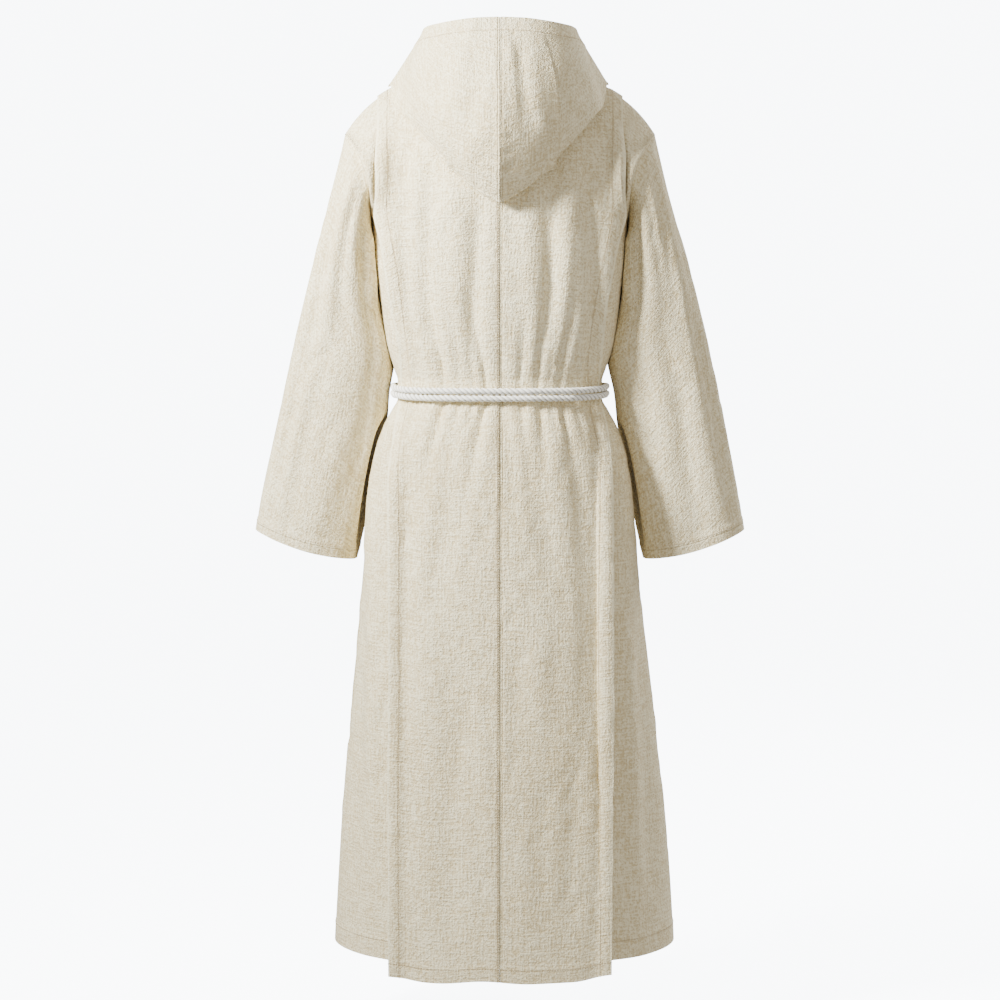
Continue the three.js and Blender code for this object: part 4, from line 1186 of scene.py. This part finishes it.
# %% A laid rope
def carried_side(ahead):
    # A direction square to the path at each point, carried along it without twisting.
    side = np.zeros_like(ahead)
    start = np.cross(ahead[0], [0, 0, 1.0] if abs(ahead[0, 2]) < 0.9 else [1.0, 0, 0])
    side[0] = unit(start)
    for i in range(1, len(ahead)):
        side[i] = unit(side[i - 1] - ahead[i] * np.dot(side[i - 1], ahead[i]))
    return side


STRAND_ROUND, END_ROUND = 0.8, 0.6


def tube(name, path, radius, lay, turn=0.0, sides=20, lobes=3, depth=0.36):
    # A rope with its strands as lobes; "strand" keeps how near a point is to the crown of its strand,
    # which the rope's finish uses to paint shade in the grooves.
    path = np.asarray(path, float)
    ahead = unit(np.gradient(path, axis=0))
    run = run_along(path)
    side = carried_side(ahead)
    other = np.cross(ahead, side)
    angle = 2 * np.pi * np.arange(sides) / sides
    phase = lobes * (angle[None] - 2 * np.pi * run[:, None] / lay + turn)
    crown = np.abs(np.cos(phase / 2)) ** STRAND_ROUND
    reach = radius * (1 - depth + depth * crown)
    ends = np.minimum(run, run[-1] - run)
    reach = reach * np.sqrt(np.clip(ends / (END_ROUND * radius), 0.05, 1))[:, None]
    ring = side[:, None] * np.cos(angle)[None, :, None]
    ring = ring + other[:, None] * np.sin(angle)[None, :, None]
    points = path[:, None] + ring * reach[..., None]
    caps = np.array([path[0], path[-1]])
    count = points.shape[0] * sides
    faces = quads(len(path), sides, 0, True).tolist()
    j = np.arange(sides)
    last = count - sides
    faces += np.stack([j, np.full(sides, count), (j + 1) % sides], -1).tolist()
    faces += np.stack([last + j, last + (j + 1) % sides, np.full(sides, count + 1)], -1).tolist()
    points = np.concatenate([points.reshape(-1, 3), caps])
    mesh = bpy.data.meshes.new(name + "_rope")
    mesh.from_pydata((points * MM).tolist(), [], faces)
    mesh.polygons.foreach_set("use_smooth", [True] * len(mesh.polygons))
    obj = bpy.data.objects.new(name + "_rope", mesh)
    bpy.context.scene.collection.objects.link(obj)
    strand = mesh.attributes.new("strand", "FLOAT", "POINT")
    strand.data.foreach_set("value", np.append(crown.ravel(), [1, 1]))
    layer = mesh.uv_layers.new(name="cut")
    flat = np.stack(np.broadcast_arrays(angle[None] * radius, run[:, None]), -1).reshape(-1, 2)
    flat = np.concatenate([flat, [[0, 0], [0, run[-1]]]]) * MM
    corner = np.empty(len(mesh.loops), int)
    mesh.loops.foreach_get("vertex_index", corner)
    layer.data.foreach_set("uv", flat[corner].ravel())
    print(name, "length", round(run[-1] * MM, 3), "m, faces", len(faces))
    return obj


# %% The two turns
BELT_STEP, END_STEP = 0.75, 0.8
KNOT_CLEAR, KNOT_WINDOW = 0.8, np.array([0.62, 1.0, 1.0])
WANDER, WANDER_RUN = 0.35, 62  # a hand-tied rope never lies quite level
BELT = belt_line(ROPE_RADIUS + ROPE_SEAT, BELT_STEP)
KNOT = np.array([KNOT_X, BELT[0, 1] + ROPE_RADIUS + ROPE_SEAT - KNOT_HALF[1] - KNOT_CLEAR, BELT_Z])


def outside_knot(line):
    return np.any(np.abs(line - KNOT) > KNOT_HALF * KNOT_WINDOW, axis=1)


ROPES = {}
for name, turn, start in (("belt_upper", 0.5, 0.3), ("belt_lower", -0.5, 1.1)):
    wander = WANDER * np.sin(np.arange(len(BELT)) / WANDER_RUN + start)
    z = belt_height(BELT[:, 1]) + turn * ROPE_APART + wander
    line = np.column_stack([BELT, z])
    line = line[outside_knot(line)]
    ROPES[name] = tube(name, line, ROPE_RADIUS, ROPE_LAY, start)

# %% [markdown]
# The knot is a barrel knot: three close turns of the same rope wound over the two ends. Its rope is
# the same size, so the knot is as large as its turns make it.
# %% The knot
KNOT_TURNS, KNOT_PITCH, KNOT_POINTS = 3.0, 11.3, 330
WIND_DEPTH, WIND_HEIGHT = 8.3, 15.2
wind = np.linspace(0, 2 * np.pi * KNOT_TURNS, KNOT_POINTS)
knot_line = np.stack(
    [
        KNOT[0] + KNOT_PITCH * (wind / (2 * np.pi) - KNOT_TURNS / 2),
        KNOT[1] + WIND_DEPTH * np.cos(wind),
        KNOT[2] + WIND_HEIGHT * np.sin(wind),
    ],
    -1,
)
ROPES["belt_knot"] = tube("belt_knot", knot_line, ROPE_RADIUS, ROPE_LAY)

# %% [markdown]
# The two free ends hang from the knot down the front of the scapular. The photograph hides them, so
# they are short and plain. Their route is a few rows: a height, how far it stands off the cloth, and
# how far it has spread from the knot's middle.
# %% The two free ends
END_PATH = table(
    "z out spread",
    (-529, 3, 1),
    (-550, 4.5, 1),
    (-575, 4.5, 1.05),
    (-610, 4, 1.1),
    (-690, 4, 1.3),
    (-790, 4, 1.6),
    (-870, 4, 1.9),
)
END_SPREAD, END_LAY_TURN = 9.0, 0.7


def resampled(rows, step):
    # Even steps along a smooth curve through the rows.
    rows = np.asarray(rows, float)
    run = run_along(rows)
    at = np.linspace(0, run[-1], max(3, int(run[-1] / step)))
    table_of = [[{"run": s, "place": v} for s, v in zip(run, rows[:, k])] for k in range(3)]
    return np.stack([column(rows_k, "run", "place")(at) for rows_k in table_of], -1)


END_LINES = {}
for name, spread in (("belt_end_right", -END_SPREAD), ("belt_end_left", END_SPREAD)):
    rows = []
    for row in END_PATH:
        x = KNOT_X + spread * row["spread"]
        q = q_of(np.array(x / half_width(row["z"])), squareness(row["z"]))
        place = plain_body(-1, q, np.array(level_of(row["z"])))
        y = place[1] - scapular_lift(row["z"]) - CLOTH - ROPE_RADIUS - row["out"]
        rows.append((x, min(KNOT[1], y), row["z"]))
    END_LINES[name] = resampled(rows, END_STEP)
    ROPES[name] = tube(name, END_LINES[name], ROPE_RADIUS, ROPE_LAY, END_LAY_TURN)


# %% [markdown]
# ## Finishes
# Shader maths reads like ordinary arithmetic through one small class that wraps a socket. Linen shows
# its weave up close, thicker yarns here and there, a fine crumple all over and a ditch along every
# line of stitches, with painted shade in the ditch. The scapular's edges get a painted highlight, and
# the middle seams a painted shadow.
# %% Shader sums
class Sum:
    def __init__(self, tree, socket):
        self.tree, self.socket = tree, socket

    def put(self, node, socket):
        if isinstance(socket, Sum):
            self.tree.links.new(socket.socket, node)
        else:
            node.default_value = socket

    def node(self, kind, inputs=None, output=0, **settings):
        made = self.tree.nodes.new(kind)
        for key, value in settings.items():
            setattr(made, key, value)
        for key, value in (inputs or {}).items():
            self.put(made.inputs[key], value)
        return Sum(self.tree, made.outputs[output])

    def maths(self, operation, *values):
        return self.node("ShaderNodeMath", dict(enumerate(values)), operation=operation)

    def __add__(self, other):
        return self.maths("ADD", self, other)

    def __sub__(self, other):
        return self.maths("SUBTRACT", self, other)

    def __mul__(self, other):
        return self.maths("MULTIPLY", self, other)

    def __truediv__(self, other):
        return self.maths("DIVIDE", self, other)

    def __rsub__(self, other):
        return self.maths("SUBTRACT", other, self)

    def __rmul__(self, other):
        return self.maths("MULTIPLY", other, self)

    def sine(self):
        return self.maths("SINE", self)

    def size(self):
        return self.maths("ABSOLUTE", self)

    def groove(self, centre, width):
        # 1 at the centre, falling softly to 0 at half a width on either side.
        return self.maths("MAXIMUM", 1.0 - ((self - centre) / (width / 2)).size(), 0.0)


def material(name):
    made = bpy.data.materials.new(name)
    made.use_nodes = True
    tree = made.node_tree
    shader = tree.nodes["Principled BSDF"]
    return made, shader, Sum(tree, None)


def bumped(shader, s, height, strength=1.0):
    bump = s.node("ShaderNodeBump", {"Height": height, "Distance": 1.0, "Strength": strength})
    s.tree.links.new(bump.socket, shader.inputs["Normal"])


def blend(s, share, first, second):
    return s.node("ShaderNodeMix", {0: share, 6: first, 7: second}, data_type="RGBA", output=2)


# %% [markdown]
# Linen is a plain weave of uneven yarns: every so often one is thicker, and shows as a short slub.
# The weave follows the cut of the piece, so it comes from the flat map that every panel has, and the
# crumple comes from noise in space. A photographed cloth would be simpler, but wouldn't bend with it.
# %% Linen
YARN = 0.0011
SLUB_ACROSS, SLUB_ALONG = 330, 24
PALE_LINEN, WARM_LINEN = (0.925, 0.845, 0.60, 1), (0.66, 0.54, 0.31, 1)
HEIGHTS = {"weave": 0.00006, "slub": 0.0012, "grain": 0.0025, "fine": 0.0011, "wide": 0.003, "ditch": 0.001}


def linen(name, pale, warm):
    made, shader, s = material(name)
    cut = s.node("ShaderNodeUVMap", uv_map="cut")
    split = s.node("ShaderNodeSeparateXYZ", {0: cut})
    u, v = split, Sum(s.tree, split.socket.node.outputs[1])
    weave = (u * (2 * math.pi / YARN)).sine() * (v * (2 * math.pi / YARN)).sine()

    def slubs(across_scale, along_scale):
        stretched = s.node("ShaderNodeMapping", {"Vector": cut, "Scale": (across_scale, along_scale, 1)})
        return s.node("ShaderNodeTexNoise", {"Vector": stretched, "Scale": 1.0, "Detail": 2.0})

    def crumple(scale, detail, distortion=0.0):
        sizes = {"Vector": place, "Scale": scale, "Detail": detail, "Distortion": distortion}
        return s.node("ShaderNodeTexNoise", sizes)

    warp, weft = slubs(SLUB_ACROSS, SLUB_ALONG), slubs(SLUB_ALONG, SLUB_ACROSS)
    place = s.node("ShaderNodeTexCoord", output="Object")
    soft, fine = crumple(5.0, 3.0), crumple(46.0, 3.0, 0.6)
    grain, wide = crumple(290.0, 2.0, 0.4), crumple(17.0, 2.0, 1.1)
    ditch = 0.0 * u
    for mark, centre, width in (
        ("from_stitch", 0.0, 2.6),
        ("from_side", STITCH["side"], 2.6),
        ("from_middle", STITCH["middle"], 2.4),
    ):
        tag = s.node("ShaderNodeAttribute", attribute_name=mark, output=2)
        ditch = ditch + tag.groove(centre * MM, width * MM)
    height = weave * HEIGHTS["weave"] + (warp + weft) * HEIGHTS["slub"] + grain * HEIGHTS["grain"]
    height = height + fine * HEIGHTS["fine"] + wide * HEIGHTS["wide"] - ditch * HEIGHTS["ditch"]
    bumped(shader, s, height)
    seam = s.node("ShaderNodeAttribute", attribute_name="from_middle", output=2)
    edge = s.node("ShaderNodeAttribute", attribute_name="from_side", output=2)
    shade = 0.8 * (warp + weft) + 0.35 * soft + 1.4 * grain - 1.675
    # Painted light in the cloth's colour: a painted highlight along the scapular's side edges, and painted
    # shade in the ditches along the stitches.
    light = 1.6 * edge.groove(0.0005, 0.0056) - 0.6 * ditch
    colour = blend(s, shade * 2.2 + 0.5 + light, warm, pale)
    # Painted shadow: a dark line along the middle seams of the scapular and the hood, and along the armhole
    # seam at the top of each sleeve.
    deep = tuple(0.3 * c for c in warm[:3]) + (1,)
    line = seam.groove(0.0, 0.0036) * 0.85
    colour = blend(s, line, colour, deep)
    s.tree.links.new(colour.socket, shader.inputs["Base Color"])
    shader.inputs["Roughness"].default_value = 0.92
    shader.inputs["Sheen Weight"].default_value = 0.12
    shader.inputs["Specular IOR Level"].default_value = 0.2
    return made


LINEN = linen("linen", PALE_LINEN, WARM_LINEN)
print("linen nodes", len(LINEN.node_tree.nodes))


# %% [markdown]
# The rope is white cotton with painted shade in the grooves between its strands, and the thread is a
# warm grey linen. Both are bundles of fine hairs that run round at a slant.
# %% Rope and thread
def fibre(name, pale, dark, scale):
    made, shader, s = material(name)
    cut = s.node("ShaderNodeUVMap", uv_map="cut")
    split = s.node("ShaderNodeSeparateXYZ", {0: cut})
    u, v = split, Sum(s.tree, split.socket.node.outputs[1])
    hairs = (u * (2 * math.pi / scale) + v * (2 * math.pi / scale) * 0.8).sine()
    place = s.node("ShaderNodeTexCoord", output="Object")
    noise = s.node("ShaderNodeTexNoise", {"Vector": place, "Scale": 900.0, "Detail": 2.0})
    bumped(shader, s, hairs * 0.00003 + noise * 0.00007, 0.7)
    strand = s.node("ShaderNodeAttribute", attribute_name="strand", output=2)
    # The crowns of the strands take the pale colour and the grooves between them painted shade, with some
    # noise in the tone.
    colour = blend(s, noise * 0.6 + strand * 1.3 - 0.5, dark, pale)
    s.tree.links.new(colour.socket, shader.inputs["Base Color"])
    shader.inputs["Roughness"].default_value = 0.9
    shader.inputs["Specular IOR Level"].default_value = 0.2
    return made


# The rope's second colour is painted shade for the grooves between its strands.
PALE_ROPE, ROPE_GROOVE_SHADE, THREAD_COLOUR = (0.95, 0.935, 0.88, 1), (0.42, 0.41, 0.38, 1), (0.72, 0.60, 0.42, 1)
ROPE = fibre("rope", PALE_ROPE, ROPE_GROOVE_SHADE, 0.0012)
THREAD = fibre("thread", THREAD_COLOUR, THREAD_COLOUR, 0.0006)
for obj in PANELS.values():
    obj.data.materials.append(LINEN)
for obj in ROPES.values():
    obj.data.materials.append(ROPE)

# %% [markdown]
# ## Stitches
# One node tree makes every stitch: it walks along a line that lies on the cloth, sets a short thread
# at each pitch, and tilts it a little by a fixed seed. Lines come from the grids: a row or a column
# that was put where the stitches run.
# %% The stitch tree
TILT = 0.12
NODES = {
    "curve": ("GeometryNodeMeshToCurve", {}),
    "walk": ("GeometryNodeCurveToPoints", {"mode": "LENGTH"}),
    "ball": ("GeometryNodeMeshUVSphere", {}),
    "size": ("ShaderNodeCombineXYZ", {}),
    "lean": ("FunctionNodeRandomValue", {"data_type": "FLOAT_VECTOR"}),
    "both": ("ShaderNodeCombineXYZ", {}),
    "under": ("ShaderNodeMath", {"operation": "MULTIPLY"}),
    "less": ("ShaderNodeCombineXYZ", {}),
    "turn": ("FunctionNodeRotateRotation", {"rotation_space": "LOCAL"}),
    "tilt": ("FunctionNodeEulerToRotation", {}),
    "place": ("GeometryNodeInstanceOnPoints", {}),
    "real": ("GeometryNodeRealizeInstances", {}),
    "paint": ("GeometryNodeSetMaterial", {}),
    "flat": ("GeometryNodeSetShadeSmooth", {}),
    "start": ("NodeGroupInput", {}),
    "end": ("NodeGroupOutput", {}),
}
SETTINGS = (
    ("ball", "Segments", 6),
    ("ball", "Rings", 4),
    ("ball", "Radius", 0.5),
    ("lean", "Seed", 7),
    ("under", 1, -1.0),
)
LINKS = (
    ("start", "Geometry", "curve", "Mesh"),
    ("curve", "Curve", "walk", "Curve"),
    ("start", "Pitch", "walk", "Length"),
    ("walk", "Points", "place", "Points"),
    ("ball", "Mesh", "place", "Instance"),
    ("start", "Thickness", "size", "X"),
    ("start", "Thickness", "size", "Y"),
    ("start", "Length", "size", "Z"),
    ("start", "Tilt", "both", "X"),
    ("start", "Tilt", "both", "Y"),
    ("start", "Tilt", "under", 0),
    ("under", 0, "less", "X"),
    ("under", 0, "less", "Y"),
    ("both", "Vector", "lean", "Max"),
    ("less", "Vector", "lean", "Min"),
    ("lean", "Value", "tilt", 0),
    ("walk", "Rotation", "turn", 0),
    ("tilt", 0, "turn", 1),
    ("turn", 0, "place", "Rotation"),
    ("size", "Vector", "place", "Scale"),
    ("place", "Instances", "real", "Geometry"),
    ("real", "Geometry", "flat", "Geometry"),
    ("flat", "Geometry", "paint", "Geometry"),
    ("start", "Thread", "paint", "Material"),
    ("paint", "Geometry", "end", "Geometry"),
)


def stitch_tree():
    tree = bpy.data.node_groups.new("stitches", "GeometryNodeTree")
    face = tree.interface
    face.new_socket("Geometry", in_out="INPUT", socket_type="NodeSocketGeometry")
    sizes = {}
    for name, value in (("Pitch", 0.004), ("Length", 0.0028), ("Thickness", 0.0007), ("Tilt", TILT)):
        socket = face.new_socket(name, in_out="INPUT", socket_type="NodeSocketFloat")
        socket.default_value = value
        sizes[name] = socket.identifier
    thread = face.new_socket("Thread", in_out="INPUT", socket_type="NodeSocketMaterial")
    sizes["Thread"] = thread.identifier
    face.new_socket("Geometry", in_out="OUTPUT", socket_type="NodeSocketGeometry")
    nodes = {}
    for name, (kind, settings) in NODES.items():
        nodes[name] = tree.nodes.new(kind)
        for key, value in settings.items():
            setattr(nodes[name], key, value)
    for name, socket, value in SETTINGS:
        nodes[name].inputs[socket].default_value = value
    for before, out, after, into in LINKS:
        tree.links.new(nodes[before].outputs[out], nodes[after].inputs[into])
    return tree, sizes


STITCHES, STITCH_INPUTS = stitch_tree()
print("stitch tree", len(STITCHES.nodes), "nodes,", len(STITCHES.links), "links")


# %% [markdown]
# A line of stitches shows on the outer face at each hem, beside the edges of the scapular and round
# the rim of the hood. The right back half has none beside the middle, as the seam is pressed that way.
# %% Lines of stitches
def line_at(grid, index, axis, off=0.25, around=False):
    normal = face_normals(grid, 1)
    centre = grid.reshape(-1, 3).mean(0)
    out = np.sign(np.einsum("ijk,ijk->", normal, grid - centre))
    line = np.take(grid + off * out * normal, index, axis=axis)
    return np.concatenate([line, line[:1]]) if around else line


def nearest_row(values, want):
    return int(np.argmin(np.abs(values - want)))


def sewn(name, lines, on, pitch=4.0, long=2.9, thick=0.75):
    points, edges = [], []
    for line in lines:
        first = len(points)
        points += (line * MM).tolist()
        edges += [(first + i, first + i + 1) for i in range(len(line) - 1)]
    mesh = bpy.data.meshes.new(name)
    mesh.from_pydata(points, edges, [])
    obj = bpy.data.objects.new(name, mesh)
    bpy.context.scene.collection.objects.link(obj)
    modifier = obj.modifiers.new("stitches", "NODES")
    modifier.node_group = STITCHES
    sizes = {"Pitch": pitch * MM, "Length": long * MM, "Thickness": thick * MM, "Tilt": TILT}
    for key, value in sizes.items():
        modifier[STITCH_INPUTS[key]] = value
    modifier[STITCH_INPUTS["Thread"]] = THREAD
    obj.update_tag()
    depsgraph = bpy.context.evaluated_depsgraph_get()
    obj.data = bpy.data.meshes.new_from_object(obj.evaluated_get(depsgraph))
    obj.modifiers.remove(modifier)
    print(name, "faces", len(obj.data.polygons))
    SEWN[name] = (obj, on)


SEWN = {}
tunic_row = nearest_row(LOW_Z[TUNIC_FROM:], HEM_Z + STITCH["tunic"])
scapular_row = nearest_row(LOW_Z, SCAPULAR_HEM_Z + STITCH["scapular"])
sewn("tunic_back_stitches", [line_at(TUNIC_FACE[1], tunic_row, 0)], "tunic_back")
sewn("tunic_front_stitches", [line_at(TUNIC_FACE[-1], tunic_row, 0)], "tunic_front")
SCAPULAR_LINES = {
    "scapular_back_left": (-4, 1),
    "scapular_back_right": (3,),
    "scapular_front": (3, -4),
}
for name, face in SCAPULAR_FACE.items():
    lines = [line_at(face, scapular_row, 0)] + [line_at(face, c, 1) for c in SCAPULAR_LINES[name]]
    sewn(name + "_stitches", lines, name)
CUFF_ROW, RIM_COLUMN = -4, -3  # counted back from the edge of the cuff and from the rim
for name, face in SLEEVE_FACE.items():
    sewn(name + "_stitches", [line_at(face, CUFF_ROW, 0, around=True)], name)
for name, face in HOOD_FACE.items():
    sewn(name + "_stitches", [line_at(face, RIM_COLUMN, 1)], name)

# %% [markdown]
# ## Floor and light
# A round pale floor turns up into a wall far out, so that the habit has the same plain surround from
# every side. It glows a little and throws no light on the cloth. A fairly small light from the upper
# left of the picture draws the folds, a large one from the right fills them, a third lights the front,
# which the photograph doesn't show, and a bright surround softens all of it.
# %% Stage
GLOW = 9.0
FLOOR_Z, FLOOR_RADIUS, FLOOR_BEND, WALL_HEIGHT = -1.515, 7.5, 1.2, 7
FLOOR_TURNS, BEND_STEPS = 72, 10
FLOOR_HOLE = 0.0002  # the floor starts this far from its centre, so that no faces meet in one point
FLOOR_COLOUR, GLOW_COLOUR = (0.93, 0.935, 0.94, 1), (0.90, 0.95, 1.0, 1)


def cove(name, z, radius, bend):
    # A round floor that turns up into a wall, the same from every side.
    angles = np.linspace(0, np.pi / 2, BEND_STEPS)[1:]
    profile = [(FLOOR_HOLE, z), (radius, z)]
    profile += [(radius + bend * math.sin(a), z + bend * (1 - math.cos(a))) for a in angles]
    profile.append((radius + bend, z + WALL_HEIGHT))
    around, count = FLOOR_TURNS, len(profile)
    turn = [2 * math.pi * i / around for i in range(around)]
    points = [(r * math.cos(t), r * math.sin(t), h) for t in turn for r, h in profile]
    starts = [(i * count, (i + 1) % around * count) for i in range(around)]
    faces = [(a + k, a + k + 1, b + k + 1, b + k) for a, b in starts for k in range(count - 1)]
    mesh = bpy.data.meshes.new(name)
    mesh.from_pydata(points, [], faces)
    mesh.polygons.foreach_set("use_smooth", [True] * len(faces))
    obj = bpy.data.objects.new(name, mesh)
    bpy.context.scene.collection.objects.link(obj)
    made, shader, _ = material(name)
    shader.inputs["Base Color"].default_value = FLOOR_COLOUR
    shader.inputs["Roughness"].default_value = 0.9
    shader.inputs["Emission Color"].default_value = GLOW_COLOUR
    shader.inputs["Emission Strength"].default_value = GLOW
    mesh.materials.append(made)
    obj.visible_diffuse = obj.visible_glossy = False
    return obj


FLOOR = cove("floor", FLOOR_Z, FLOOR_RADIUS, FLOOR_BEND)


# %% Lights
def area_light(name, place, aim, size, power, colour, spread=180):
    light = bpy.data.lights.new(name, "AREA")
    light.shape = "RECTANGLE"
    light.size, light.size_y = size
    light.energy = power
    light.spread = math.radians(spread)
    light.color = colour
    obj = bpy.data.objects.new(name, light)
    bpy.context.scene.collection.objects.link(obj)
    obj.location = place
    obj.rotation_euler = (Vector(aim) - Vector(place)).to_track_quat("-Z", "Y").to_euler()
    return obj


KEY = area_light("key", (1.85, 1.25, 0.75), (0.05, 0, 0.0), (0.55, 0.65), 80, (1.0, 1.0, 0.95), 95)
FILL = area_light("fill", (-2.8, 3.0, 0.2), (0, 0, -0.9), (2.4, 2.6), 27, (1.0, 0.95, 0.86))
FRONT = area_light("front", (-2.6, -2.8, 1.0), (0, 0, -0.6), (1.2, 1.4), 125, (1.0, 0.99, 0.96))
world = bpy.data.worlds.new("surround")
bpy.context.scene.world = world
world.use_nodes = True
SURROUND_COLOUR, SURROUND_STRENGTH = (1.0, 0.965, 0.9, 1), 0.6
surround = world.node_tree.nodes["Background"]
surround.inputs[0].default_value = SURROUND_COLOUR
surround.inputs[1].default_value = SURROUND_STRENGTH
print("lights", [(light.name, light.data.energy) for light in (KEY, FILL, FRONT)])

# %% [markdown]
# ## Pieces on the body
# Every piece rides on the one body, and each panel and rope stands for its solid, which is hidden.
# %% Attaching the pieces
for name, (obj, on) in SEWN.items():
    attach(obj, "root")
for name, obj in PANELS.items():
    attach(obj, "root")
    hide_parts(name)
    with_pieces = [o for o, on in SEWN.values() if on == name]
for name, obj in ROPES.items():
    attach(obj, "root")
    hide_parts(name)
